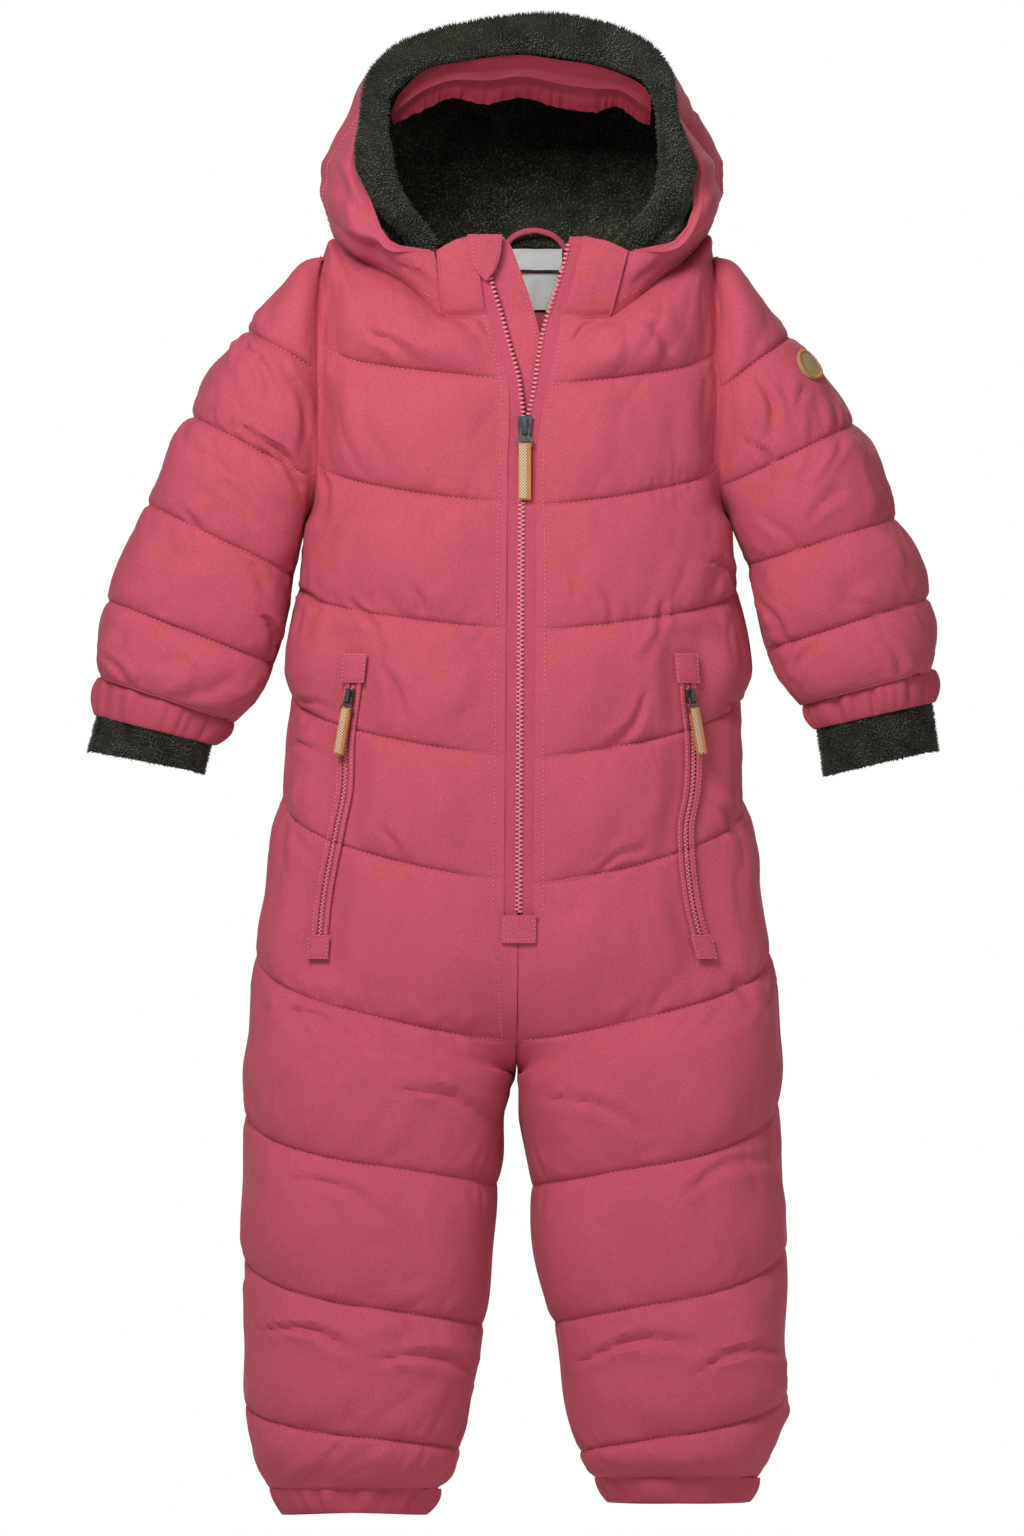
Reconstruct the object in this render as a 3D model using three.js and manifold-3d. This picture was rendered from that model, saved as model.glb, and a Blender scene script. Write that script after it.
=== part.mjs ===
import * as THREE from "three";
import { mergeVertices } from "three/addons/utils/BufferGeometryUtils.js";
import Module from "manifold-3d";

// Baby snowsuit with hood, worn form, hollow. Sizes in mm.
// X: to the viewer's right (wearer's left), Y: to the back, Z: up. Origin: between the shoulders, at the neck.
// side -1 is the wearer's right, side +1 the wearer's left. face -1 is the front, face +1 the back.

// Scale of the front picture and its column and row that lie at the origin
const PICTURE_MM = 0.63;
const PICTURE_COLUMN = 518;
const PICTURE_ROW = 262;
const rowToZ = (row) => (PICTURE_ROW - row) * PICTURE_MM;
const columnToX = (column) => (column - PICTURE_COLUMN) * PICTURE_MM;

// Cloth
const WALL = 2.6;
const SEAM_GAP = 0.2;
const BODY_PUFF = 8;
const SLEEVE_PUFF = 6.5;
const SEAM_PUFF_SHARE = 0.42;
const CORNER_POWER = 2.35;

// Front zip
const ZIP_HALF = 9.4;
const ZIP_TOP_OPEN_Z = -96;
const ZIP_FOOT_Z = -414;

// Heights of the crotch
const CROTCH_Z = -512;
const CROTCH_RISE_FRONT_Z = -424;
const CROTCH_RISE_BACK_Z = -396;

// Quilt lines of the body, picture rows: right side seam, right middle, left side seam, left middle
const QUILT_LINES = [
  [352, 378, 358, 384],
  [468, 502, 470, 505],
  [588, 628, 590, 630],
  [695, 755, 698, 758],
  [795, 880, 800, 884],
  [955, 1040, 950, 1040],
  [1113, 1183, 1103, 1186],
  [1257, 1324, 1245, 1322],
  [1404, 1448, 1391, 1451],
  [1488, 1488, 1477, 1477],
];
const LAST_LINE = QUILT_LINES.length;
const RIGHT_SIDE = 0;
const RIGHT_MIDDLE = 1;
const LEFT_SIDE = 2;
const LEFT_MIDDLE = 3;

// Outer edge of body and leg: picture row, right column, left column
const OUTER_EDGE = [
  [540, 301, 735],
  [600, 295, 741],
  [650, 288, 749],
  [675, 286, 751],
  [710, 290, 741],
  [750, 287, 741],
  [790, 281, 744],
  [830, 272, 754],
  [890, 266, 759],
  [930, 257, 767],
  [970, 252, 775],
  [1030, 251, 778],
  [1070, 244, 782],
  [1120, 243, 781],
  [1180, 245, 781],
  [1240, 240.5, 788],
  [1290, 245, 786],
  [1340, 246, 783],
  [1400, 242.5, 790],
  [1430, 248, 781],
  [1460, 256, 769],
  [1478, 262, 760],
  [1489, 267, 755],
  [1514, 280, 746],
];

// Inner edge of the legs: picture row, right column, left column
const INNER_EDGE = [
  [1050, 513, 518],
  [1095, 507, 519],
  [1115, 501, 521],
  [1160, 502, 528],
  [1200, 497, 531],
  [1250, 490, 536],
  [1310, 487, 549],
  [1350, 479, 560],
  [1410, 465, 568],
  [1450, 461, 578],
  [1470, 452, 588],
  [1489, 440, 600],
  [1514, 426, 610],
];

// Depth of body and leg from the side seam: height, front, back
const DEPTH = [
  [-30, 62, 58],
  [-70, 71, 66],
  [-130, 78, 70],
  [-205, 82, 72],
  [-270, 82, 74],
  [-330, 80, 77],
  [-400, 79, 82],
  [-450, 77, 84],
  [-512, 75, 80],
  [-570, 72, 75],
  [-640, 67, 66],
  [-710, 61, 59],
  [-750, 54, 52],
  [-772, 44, 43],
  [-790, 40, 39],
];

// Armhole, front to side to back: height, distance from the middle, front depth, back depth
const ARMHOLE = [
  [-10, 122.5, 0, 0],
  [-15, 124, 12, 11],
  [-26, 125, 22, 21],
  [-40, 125.5, 30, 28],
  [-57, 126, 34, 32],
  [-92, 126, 36, 34],
  [-130, 126.5, 34, 33],
  [-148, 128.5, 25, 25],
  [-158, 131, 14, 14],
  [-165, 134, 0, 0],
];
const UNDERARM_Z = -165;

// Edge of the front panels beside the open zip: height, right, left distance from the middle
const ZIP_EDGE = [
  [17, 27, 42],
  [-11, 23.5, 34.5],
  [-34, 19.5, 28],
  [-50, 12.5, 24.2],
  [-76, 6.4, 19],
  [-100, 5.6, 14.6],
  [-125, 6.6, 12],
  [-200, 7.4, 11.4],
  [-411, 9, 9.6],
];

// Half of the neck seam: step along it, right, left distance from the middle, depth, height
const NECK_FRONT = [
  [0, 19.5, 27.7, -62.5, -33],
  [0.15, 34, 43, -61.5, -35.5],
  [0.3, 48, 59, -58.5, -34.5],
  [0.44, 60, 74, -52, -24],
  [0.58, 73, 87, -42, -13],
  [0.79, 96, 103, -20, -1],
  [1, 110, 113, 0, 8.5],
];
const NECK_BACK = [
  [0, 0.3, 0.3, 58, 5],
  [0.15, 22, 23, 57, 5.2],
  [0.3, 42, 44, 54.5, 5.5],
  [0.44, 60, 62, 49, 6],
  [0.58, 76, 78, 42, 6.5],
  [0.79, 97, 100, 24, 7.6],
  [1, 110, 113, 0, 8.5],
];
const NECK_STEPS = NECK_FRONT.map((row) => row[0]);
const NECK_CHIN_STEP = 0.3;
const SHOULDER_END = [122.5, 0, -10];

// Pocket zips: picture row, column of the strip's middle on the right, then on the left
const POCKETS = [
  [656, 358, 683.5],
  [700, 353, 687],
  [740, 348, 691],
  [790, 346, 690],
  [830, 338, 684],
  [900, 325, 690],
  [956, 320, 704],
];
const POCKET_HALF = 7;

// Sleeve rows: picture points of the outer edge, of the seam edge, half depth, share of a quilt band
const SLEEVES = {
  "-1": [
    { outer: [322, 276], seamRow: 280, half: 14, line: 0 },
    { outer: [283, 296], seamRow: 320, half: 34, line: 0.4 },
    { outer: [245, 329], seamRow: 372, half: 45, line: 1 },
    { outer: [217, 366], seamRow: 430, half: 49, line: 1.5 },
    { outer: [190, 415], seamRow: 480, half: 51, line: 2 },
    { outer: [170, 447], seamRow: 523, half: 51, line: 2.45 },
    { outer: [145, 503], seam: [293, 575], half: 49, line: 3 },
    { outer: [125, 552], seam: [285, 622], half: 47, line: 3.5 },
    { outer: [106, 600], seam: [273, 664], half: 45, line: 4 },
    { outer: [99, 640], seam: [259, 694], half: 43, line: 4.5 },
    { outer: [98, 676], seam: [235, 721], half: 40, line: 5 },
  ],
  1: [
    { outer: [717, 276], seamRow: 280, half: 14, line: 0 },
    { outer: [752, 298], seamRow: 322, half: 34, line: 0.4 },
    { outer: [792, 335], seamRow: 390, half: 45, line: 1 },
    { outer: [822, 372], seamRow: 440, half: 49, line: 1.5 },
    { outer: [856, 423], seamRow: 488, half: 51, line: 2 },
    { outer: [873, 455], seamRow: 523, half: 51, line: 2.45 },
    { outer: [899, 517], seam: [749, 566], half: 49, line: 3 },
    { outer: [917, 562], seam: [758, 610], half: 47, line: 3.5 },
    { outer: [930, 597], seam: [767, 650], half: 45, line: 4 },
    { outer: [935, 635], seam: [782, 680], half: 43, line: 4.5 },
    { outer: [934, 669], seam: [800, 704], half: 40, line: 5 },
  ],
};

// Cuff rings: picture points of outer and inner edge, half depth
const CUFFS = {
  "-1": {
    top: { outer: [97, 676.6], inner: [234, 721.9], half: 38.5 },
    foot: { outer: [93, 715], inner: [216, 746], half: 34 },
    fleeceTop: { outer: [102, 704], inner: [212, 733], half: 29 },
    fleeceFoot: { outer: [89, 751], inner: [203, 773], half: 33 },
  },
  1: {
    top: { outer: [935, 669.6], inner: [801, 704.9], half: 38.5 },
    foot: { outer: [936, 702], inner: [812, 730], half: 34 },
    fleeceTop: { outer: [928, 690], inner: [817, 714], half: 29 },
    fleeceFoot: { outer: [937, 750], inner: [825, 776], half: 33 },
  },
};
const CUFF_GATHERS = 20;
const HEM_GATHERS = 20;
const GATHER_RISE = 2.2;
const HEM_FOOT_DROP = 16;

// Hood, centre line of its middle panel: step, depth, height
const HOOD_SPINE = [
  [0, -50, 146],
  [0.12, -24, 152.5],
  [0.28, 14, 151],
  [0.44, 52, 135],
  [0.6, 79, 108],
  [0.76, 86, 68],
  [0.88, 76, 33],
  [1, 58, 5.6],
];
// Hood seam between side and middle panel: step, right, left distance from the middle, depth, height
const HOOD_SEAM = [
  [0, 74, 80, -42, 131],
  [0.2, 92, 96, -32, 112],
  [0.4, 105, 109, -20, 88],
  [0.6, 113, 118.5, -9, 66],
  [0.8, 114, 119, -3, 38],
  [1, 110, 113, 0, 9],
];
// Hood front edge along the roll: step, right, left distance from the middle, depth, height
const HOOD_FRONT = [
  [0, 74, 80, -47, 131],
  [0.12, 87, 91, -51, 122],
  [0.25, 98, 99.5, -54, 108],
  [0.38, 102.5, 106, -57, 88],
  [0.5, 103, 109, -58, 72],
  [0.62, 100, 111, -58.5, 54],
  [0.72, 93, 108.5, -59.5, 37],
  [0.8, 87, 103, -61, 19],
  [0.87, 73, 90, -62.5, 7.5],
  [0.93, 52, 70, -62.5, 6.5],
];
const HOOD_LOW_STEP = 0.93;
const HOOD_FLARE = 11;
const HOOD_WALL = 2.4;
const LINING_WALL = 2.2;
const HOOD_CENTRE = [0, 8, 62];
const HOOD_RADII = [122, 88, 95];

// Roll round the face opening: number, picture points of its outer and inner edge, depth of its middle
const ROLL = [
  [0, 416, 258, 440, 244, -42],
  [1, 403, 237, 428, 225, -46],
  [2, 382, 214, 411, 205, -58],
  [3, 364, 185, 398, 180, -65],
  [4, 353, 155, 392, 152, -67],
  [5, 352, 118, 388, 122, -67],
  [6, 360, 86, 392, 98, -65],
  [7, 377, 60, 408, 80, -62],
  [8, 405, 38, 432, 66, -60],
  [9, 470, 20, 478, 58, -58],
  [10, 543, 12, 532, 54, -57],
  [11, 600, 20, 590, 63, -58],
  [12, 643, 37, 625, 73, -60],
  [13, 668, 62, 644, 84, -63],
  [14, 680, 92, 655, 108, -66],
  [15, 690, 125, 657, 135, -67],
  [16, 695, 165, 658, 163, -67],
  [17, 687, 203, 652, 196, -64],
  [18, 662, 234, 634, 221, -47],
  [19, 641, 256, 613, 243, -42],
];
const ROLL_HALF_THICK = 7.5;

// Inner hood strip: number, picture points of its upper and of its gathered lower edge
const STRIP = [
  [0, 391, 112, 393, 125],
  [1, 401, 92, 404, 119],
  [2, 425, 70, 430, 107],
  [3, 458, 62, 452, 98],
  [4, 492, 57, 484, 104],
  [5, 523, 55, 523, 98],
  [6, 560, 60, 560, 108],
  [7, 593, 65, 593, 112],
  [8, 621, 74, 618, 107],
  [9, 643, 86, 638, 121],
  [10, 651, 99, 650, 125],
];
const STRIP_GATHERS = 14;

// Zip teeth lines: height, right line, left line
const CHAIN = [
  [16, -20.5, 32],
  [0, -19, 28.4],
  [-11, -16.4, 25],
  [-32, -10, 18.3],
  [-50, -5.2, 13.8],
  [-72, 1, 10.6],
  [-87, 3, 8],
  [-98, 4, 5.4],
  [-130, 2.4, 2.8],
  [-411, 0.2, 0.6],
];
const CHAIN_HALF_THICK = 1.3;
const TAPE_THICK = 1.1;

// Underlap behind the zip: height, right edge, left edge
const UNDERLAP = [
  [17, -27, -10],
  [8, -27, -3.5],
  [-50, -16, 14.5],
  [-90, -9, 13],
  [-130, -9, 12],
  [-411, -9, 10],
];

// Colours
const CORAL = { color: 0xc25a6c, roughness: 0.85 };
const CORAL_DEEP = { color: 0xa84456, roughness: 0.85 };
const FLEECE = { color: 0x30322b, roughness: 1 };
const PALE = { color: 0xdedcd6, roughness: 0.8 };
const TAN = { color: 0xb08466, roughness: 0.8 };
const METAL = { color: 0x55565a, roughness: 0.35, metalness: 1 };
const ZIP_RED = { color: 0xb24a5c, roughness: 0.6 };
const OLIVE = { color: 0x9a8a68, roughness: 0.85 };

const suit = new THREE.Group();
suit.name = "baby_snowsuit";

// Numbers and curves
const clamp = (value, low, high) => Math.min(high, Math.max(low, value));
const mix = (from, to, share) => from + (to - from) * share;
const soft = (low, high, value) => {
  const share = clamp((value - low) / (high - low), 0, 1);
  return share * share * (3 - 2 * share);
};

// Smooth reading of one column of a table whose first column rises or falls steadily
function read(table, column, key) {
  const last = table.length - 1;
  const sign = table[last][0] > table[0][0] ? 1 : -1;
  let at = 0;
  while (at < last - 1 && (table[at + 1][0] - key) * sign < 0) {
    at += 1;
  }
  const slope = (index) => {
    const low = table[Math.max(index - 1, 0)];
    const high = table[Math.min(index + 1, last)];
    return (high[column] - low[column]) / (high[0] - low[0]);
  };
  const start = table[at];
  const end = table[at + 1];
  const span = end[0] - start[0];
  const t = clamp((key - start[0]) / span, 0, 1);
  const rise = t * t * (3 - 2 * t);
  const startPull = t * (1 - t) * (1 - t) * span * slope(at);
  const endPull = -t * t * (1 - t) * span * slope(at + 1);
  return mix(start[column], end[column], rise) + startPull + endPull;
}

const signedPower = (value, power) => Math.sign(value) * Math.abs(value) ** power;

// Adds a named mesh from triangles that are closed; turns them outward
function addTriangles(name, triangles, look) {
  let volume = 0;
  for (const [a, b, c] of triangles) {
    volume += a.dot(new THREE.Vector3().crossVectors(b, c));
  }
  const places = [];
  for (const [a, b, c] of triangles) {
    const turned = volume > 0 ? [a, b, c] : [a, c, b];
    for (const point of turned) {
      places.push(point.x, point.y, point.z);
    }
  }
  const geometry = new THREE.BufferGeometry();
  geometry.setAttribute("position", new THREE.Float32BufferAttribute(places, 3));
  geometry.computeVertexNormals();
  const mesh = new THREE.Mesh(geometry, new THREE.MeshStandardMaterial(look));
  mesh.name = name;
  suit.add(mesh);
  return mesh;
}

// Triangles between two point rows whose steps may differ
function stitch(upper, upperSteps, lower, lowerSteps, flip, out) {
  let i = 0;
  let j = 0;
  while (i < upper.length - 1 || j < lower.length - 1) {
    const nextUpper = i < upper.length - 1 ? upperSteps[i + 1] : Infinity;
    const nextLower = j < lower.length - 1 ? lowerSteps[j + 1] : Infinity;
    if (nextUpper <= nextLower) {
      out.push(flip ? [upper[i], lower[j], upper[i + 1]] : [upper[i], upper[i + 1], lower[j]]);
      i += 1;
    } else {
      out.push(flip ? [upper[i], lower[j], lower[j + 1]] : [upper[i], lower[j + 1], lower[j]]);
      j += 1;
    }
  }
}

function skin(rows, flip, out) {
  for (let r = 0; r < rows.length - 1; r += 1) {
    for (let c = 0; c < rows[r].length - 1; c += 1) {
      const a = rows[r][c];
      const b = rows[r][c + 1];
      const d = rows[r + 1][c];
      const e = rows[r + 1][c + 1];
      out.push(flip ? [a, d, b] : [a, b, d], flip ? [b, d, e] : [b, e, d]);
    }
  }
}

// Cloth wall: an outer skin on all steps, an inner skin on the picked steps, closed at its four edges
function addWall(name, steps, picks, outerPoint, innerPoint, look) {
  const [rows, columns] = steps;
  const [rowPicks, columnPicks] = picks;
  const outer = rows.map((u) => columns.map((v) => outerPoint(u, v)));
  const inner = rowPicks.map((r) => columnPicks.map((c) => innerPoint(rows[r], columns[c])));
  const out = [];
  skin(outer, false, out);
  skin(inner, true, out);
  const rowSteps = rows.map((_, index) => index);
  const columnSteps = columns.map((_, index) => index);
  const lastRow = rows.length - 1;
  const lastColumn = columns.length - 1;
  stitch(outer[0], columnSteps, inner[0], columnPicks, true, out);
  stitch(outer[lastRow], columnSteps, inner[inner.length - 1], columnPicks, false, out);
  const edge = (grid, column) => grid.map((row) => row[column]);
  stitch(edge(outer, 0), rowSteps, edge(inner, 0), rowPicks, false, out);
  stitch(edge(outer, lastColumn), rowSteps, edge(inner, columnPicks.length - 1), rowPicks, true, out);
  return addTriangles(name, out, look);
}

// Closed ring wall from outer and inner loops, first and last loops joined by rims
function addRing(name, outerLoops, innerLoops, look) {
  const loops = [...outerLoops, ...innerLoops.slice().reverse()];
  const out = [];
  for (let r = 0; r < loops.length; r += 1) {
    const here = loops[r];
    const next = loops[(r + 1) % loops.length];
    for (let c = 0; c < here.length; c += 1) {
      const d = (c + 1) % here.length;
      out.push([here[c], here[d], next[c]], [here[d], next[d], next[c]]);
    }
  }
  return addTriangles(name, out, look);
}

// Solid from cross sections along a path, with flat ends
function addLoft(name, sections, look) {
  const out = [];
  for (let r = 0; r < sections.length - 1; r += 1) {
    const here = sections[r];
    const next = sections[r + 1];
    for (let c = 0; c < here.length; c += 1) {
      const d = (c + 1) % here.length;
      out.push([here[c], here[d], next[c]], [here[d], next[d], next[c]]);
    }
  }
  const cap = (loop, flip) => {
    const middle = new THREE.Vector3();
    for (const point of loop) {
      middle.addScaledVector(point, 1 / loop.length);
    }
    for (let c = 0; c < loop.length; c += 1) {
      const d = (c + 1) % loop.length;
      out.push(flip ? [middle, loop[c], loop[d]] : [middle, loop[d], loop[c]]);
    }
  };
  cap(sections[0], false);
  cap(sections[sections.length - 1], true);
  return addTriangles(name, out, look);
}

// Steps inside quilt bands, and every second one for the plain inside
function bandSteps(first, last, shares) {
  const steps = [];
  for (let band = first; band < last; band += 1) {
    for (const share of shares) {
      steps.push(band + share);
    }
  }
  steps.push(last);
  return steps;
}
function everySecond(steps) {
  const picks = [];
  for (let index = 0; index < steps.length; index += 2) {
    picks.push(index);
  }
  if (picks[picks.length - 1] !== steps.length - 1) {
    picks.push(steps.length - 1);
  }
  return picks;
}
function evenSteps(count) {
  return Array.from({ length: count + 1 }, (_, index) => index / count);
}

// Body outline
const sideColumn = (side) => (side < 0 ? 1 : 2);
const outerX = (side, z) => Math.abs(columnToX(read(OUTER_EDGE, sideColumn(side), PICTURE_ROW - z / PICTURE_MM)));
const innerX = (side, z) => {
  const row = PICTURE_ROW - z / PICTURE_MM;
  const x = side * columnToX(read(INNER_EDGE, sideColumn(side), row));
  return Math.max(x, 0.4);
};
const depth = (face, z) => read(DEPTH, face < 0 ? 1 : 2, z);

function lineHeight(side, middle, u) {
  const column = side < 0 ? (middle ? RIGHT_MIDDLE : RIGHT_SIDE) : middle ? LEFT_MIDDLE : LEFT_SIDE;
  const at = clamp(Math.floor(u) - 1, 0, LAST_LINE - 2);
  const row = mix(QUILT_LINES[at][column], QUILT_LINES[at + 1][column], u - 1 - at);
  return rowToZ(row);
}

// Height at the middle edge: at the back the torso lines run nearly level
function middleHeight(side, face, u) {
  const front = lineHeight(side, true, u);
  if (face < 0 || u >= 7) {
    return front;
  }
  const level = lineHeight(side, false, u) - 9;
  return mix(level, front, soft(5.2, 6.6, u));
}

function zipEdge(side, z) {
  const open = read(ZIP_EDGE, sideColumn(side), z);
  return z > ZIP_FOOT_Z - 1 ? open : mix(open, SEAM_GAP, clamp((ZIP_FOOT_Z - 1 - z) / 6, 0, 1));
}

// Point and outward direction on the body's base surface, u from shoulder 0 to ankle 10, v from middle to side
function bodyBase(side, face, u, v) {
  if (u < 1) {
    return shoulderBase(side, face, u, v);
  }
  const zMiddle = middleHeight(side, face, u);
  const zSide = lineHeight(side, false, u);
  const crotchRise = face < 0 ? CROTCH_RISE_FRONT_Z : CROTCH_RISE_BACK_Z;
  const fall = clamp((crotchRise - zMiddle) / (crotchRise - CROTCH_Z), 0, 1);
  const leg = 1 - Math.sqrt(1 - fall * fall);
  const bow = mix(1.15, 2, leg);
  const z = mix(zMiddle, zSide, v ** bow);
  const front = depth(face, z);
  const share = 2 / CORNER_POWER;
  // torso part
  let xEnd;
  let width;
  if (z > UNDERARM_Z) {
    xEnd = read(ARMHOLE, 1, z);
    const edgeDepth = Math.max(read(ARMHOLE, face < 0 ? 2 : 3, z), 0);
    width = xEnd / (1 - (edgeDepth / front) ** CORNER_POWER) ** (1 / CORNER_POWER);
  } else {
    const below = soft(UNDERARM_Z, UNDERARM_Z - 40, z);
    xEnd = mix(134, outerX(side, z) - BODY_PUFF * SEAM_PUFF_SHARE * 0.8, below);
    width = xEnd;
  }
  const xStart = face < 0 ? zipEdge(side, zMiddle) : SEAM_GAP + 0.1;
  const startAngle = Math.asin(clamp((xStart / width) ** (1 / share), 0, 1));
  const endAngle = Math.asin(clamp((xEnd / width) ** (1 / share), 0, 1));
  const angle = mix(startAngle, endAngle, v);
  const torso = new THREE.Vector3(width * Math.sin(angle) ** share, front * Math.max(Math.cos(angle), 0) ** share, z);
  const torsoOut = new THREE.Vector3(
    (torso.x / width) ** (CORNER_POWER - 1) / width,
    (torso.y / front) ** (CORNER_POWER - 1) / front,
    0,
  ).normalize();
  if (leg <= 0) {
    torso.x *= side;
    torsoOut.x *= side;
    torso.y = torso.y * face + SEAM_GAP * face;
    torsoOut.y *= face;
    return { point: torso, out: torsoOut };
  }
  const inner = innerX(side, Math.min(z, CROTCH_Z)) + (z < CROTCH_Z - 6 ? 2 : 0);
  const outer = outerX(side, z) - BODY_PUFF * SEAM_PUFF_SHARE * 0.8;
  const half = (outer - inner) / 2;
  const centre = (outer + inner) / 2;
  const turn = (v - 0.5) * Math.PI;
  const loopX = signedPower(Math.sin(turn), share);
  const loopY = Math.max(Math.cos(turn), 0) ** share;
  const thigh = new THREE.Vector3(centre + half * loopX, front * loopY, z);
  const thighOut = new THREE.Vector3(
    signedPower(loopX, CORNER_POWER - 1) / half,
    loopY ** (CORNER_POWER - 1) / front,
    0,
  ).normalize();
  const point = torso.lerp(thigh, leg);
  const out = torsoOut.lerp(thighOut, leg).normalize();
  point.x = Math.max(point.x, SEAM_GAP + 0.05) * side;
  out.x *= side;
  point.y = point.y * face + SEAM_GAP * face;
  out.y *= face;
  return { point, out };
}

// Neck seam point by its step, front or back half; straight between the steps of its table
function neckPoint(side, face, step, raise = 0) {
  const table = face < 0 ? NECK_FRONT : NECK_BACK;
  let at = 0;
  while (at < table.length - 2 && step > table[at + 1][0]) {
    at += 1;
  }
  const t = (step - table[at][0]) / (table[at + 1][0] - table[at][0]);
  const blend = (column) => mix(table[at][column], table[at + 1][column], t);
  return new THREE.Vector3(side * blend(sideColumn(side)), blend(3) + SEAM_GAP * face, blend(4) + raise);
}

// Upper body between the first quilt line, zip or back middle, neck with shoulder seam, and armhole
const NECK_SHARE = 0.86;
function topEdge(side, face, v) {
  if (v <= NECK_SHARE) {
    return neckPoint(side, face, v / NECK_SHARE);
  }
  const end = new THREE.Vector3(side * SHOULDER_END[0], SEAM_GAP * face, SHOULDER_END[2]);
  return neckPoint(side, face, 1).lerp(end, (v - NECK_SHARE) / (1 - NECK_SHARE));
}
function armholeEdge(side, face, s) {
  const z = mix(lineHeight(side, false, 1), SHOULDER_END[2], s);
  const y = Math.max(read(ARMHOLE, face < 0 ? 2 : 3, z), 0);
  return new THREE.Vector3(side * read(ARMHOLE, 1, z), y * face + SEAM_GAP * face, z);
}
function shoulderBase(side, face, u, v) {
  const s = 1 - u;
  const low = bodyBase(side, face, 1, v);
  const neck = topEdge(side, face, 0);
  const end = topEdge(side, face, 1);
  const high = topEdge(side, face, v);
  const lowStart = bodyBase(side, face, 1, 0).point;
  const inner = lowStart.clone().lerp(neck, s);
  const outer = armholeEdge(side, face, s);
  const lowEnd = bodyBase(side, face, 1, 1).point;
  const point = new THREE.Vector3();
  point.addScaledVector(low.point, 1 - s).addScaledVector(high, s);
  point.addScaledVector(inner, 1 - v).addScaledVector(outer, v);
  point.addScaledVector(lowStart, -(1 - s) * (1 - v)).addScaledVector(lowEnd, -(1 - s) * v);
  point.addScaledVector(neck, -s * (1 - v)).addScaledVector(end, -s * v);
  const top = new THREE.Vector3(0.79 * side, 0, 0.61);
  const out = low.out.clone().lerp(top, s * s * v).normalize();
  const bulge = 9 * 4 * s * (1 - s) * Math.sin(Math.PI * v);
  point.addScaledVector(out, bulge);
  return { point, out };
}

// How far a body point is from the pocket strip of its side
function pocketDistance(side, point) {
  const row = PICTURE_ROW - point.z / PICTURE_MM;
  if (row < 620 || row > 990) {
    return 1000;
  }
  const x = columnToX(read(POCKETS, sideColumn(side), clamp(row, 656, 956)));
  const overshoot = Math.max(640 - row, row - 966, 0) * PICTURE_MM;
  return Math.hypot(Math.max(Math.abs(point.x - x) - POCKET_HALF, 0), overshoot);
}

const pillow = (share) => (4 * share * (1 - share)) ** 0.6;
// Padding of the bands from shoulder to ankle
const BAND_FILL = [0.5, 0.9, 1, 1, 0.95, 1, 1.1, 1.1, 1.05, 0.75];

// Where body and sleeve meet: distance from the middle at a height
const SLEEVE_CONTACT = [
  [-165, 134, 134],
  [-192, 139, 143.4],
  [-222, 144.2, 149.6],
  [-262, 153, 159],
];
const SLEEVE_CONTACT_FOOT = -262;
function divider(side, z) {
  if (z < SLEEVE_CONTACT_FOOT) {
    return side < 0 ? 153 : 159;
  }
  return z > UNDERARM_Z ? read(ARMHOLE, 1, Math.min(z, -10)) : read(SLEEVE_CONTACT, sideColumn(side), z);
}
function keepInside(side, point) {
  const limit = point.z < SLEEVE_CONTACT_FOOT ? 1000 : divider(side, point.z) - 0.16;
  point.x = side * Math.max(Math.min(point.x * side, limit), SEAM_GAP * 0.8);
  return point;
}
function keepOutside(side, point) {
  const limit = divider(side, point.z) + 0.16;
  point.x = side * Math.max(point.x * side, limit);
  return point;
}

function bodyPuff(side, face, u, v) {
  const band = clamp(Math.floor(u), 0, LAST_LINE - 1);
  const share = clamp(u - band, 0, 1);
  const legShare = soft(5.5, 6.6, u);
  const nearMiddle = mix(mix(0.12, 1, soft(0, 0.16, v)), mix(SEAM_PUFF_SHARE, 1, soft(0, 0.3, v)), legShare);
  const free = soft(2.4, 3.2, u);
  const nearSide = mix(SEAM_PUFF_SHARE * free, 1, soft(1, 0.7, v));
  const uneven = 1 + 0.14 * Math.sin(2.1 * band + 4.7 * v + side + 1.7 * face);
  let height = BODY_PUFF * BAND_FILL[band] * pillow(share) * nearMiddle * nearSide * uneven;
  if (face < 0) {
    const { point } = bodyBase(side, face, u, v);
    height = mix(Math.min(height, 2.2), height, soft(1, 16, pocketDistance(side, point)));
  }
  return height;
}
function bodyOuter(side, face, u, v) {
  const { point, out } = bodyBase(side, face, u, v);
  return keepInside(side, point.addScaledVector(out, bodyPuff(side, face, u, v)));
}
function bodyInner(side, face, u, v) {
  const { point, out } = bodyBase(side, face, u, v);
  keepInside(side, point).addScaledVector(out, -WALL);
  point.x = side * Math.max(point.x * side, SEAM_GAP * 0.8);
  point.y = face * Math.max(point.y * face, SEAM_GAP * 0.8);
  return point;
}

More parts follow.
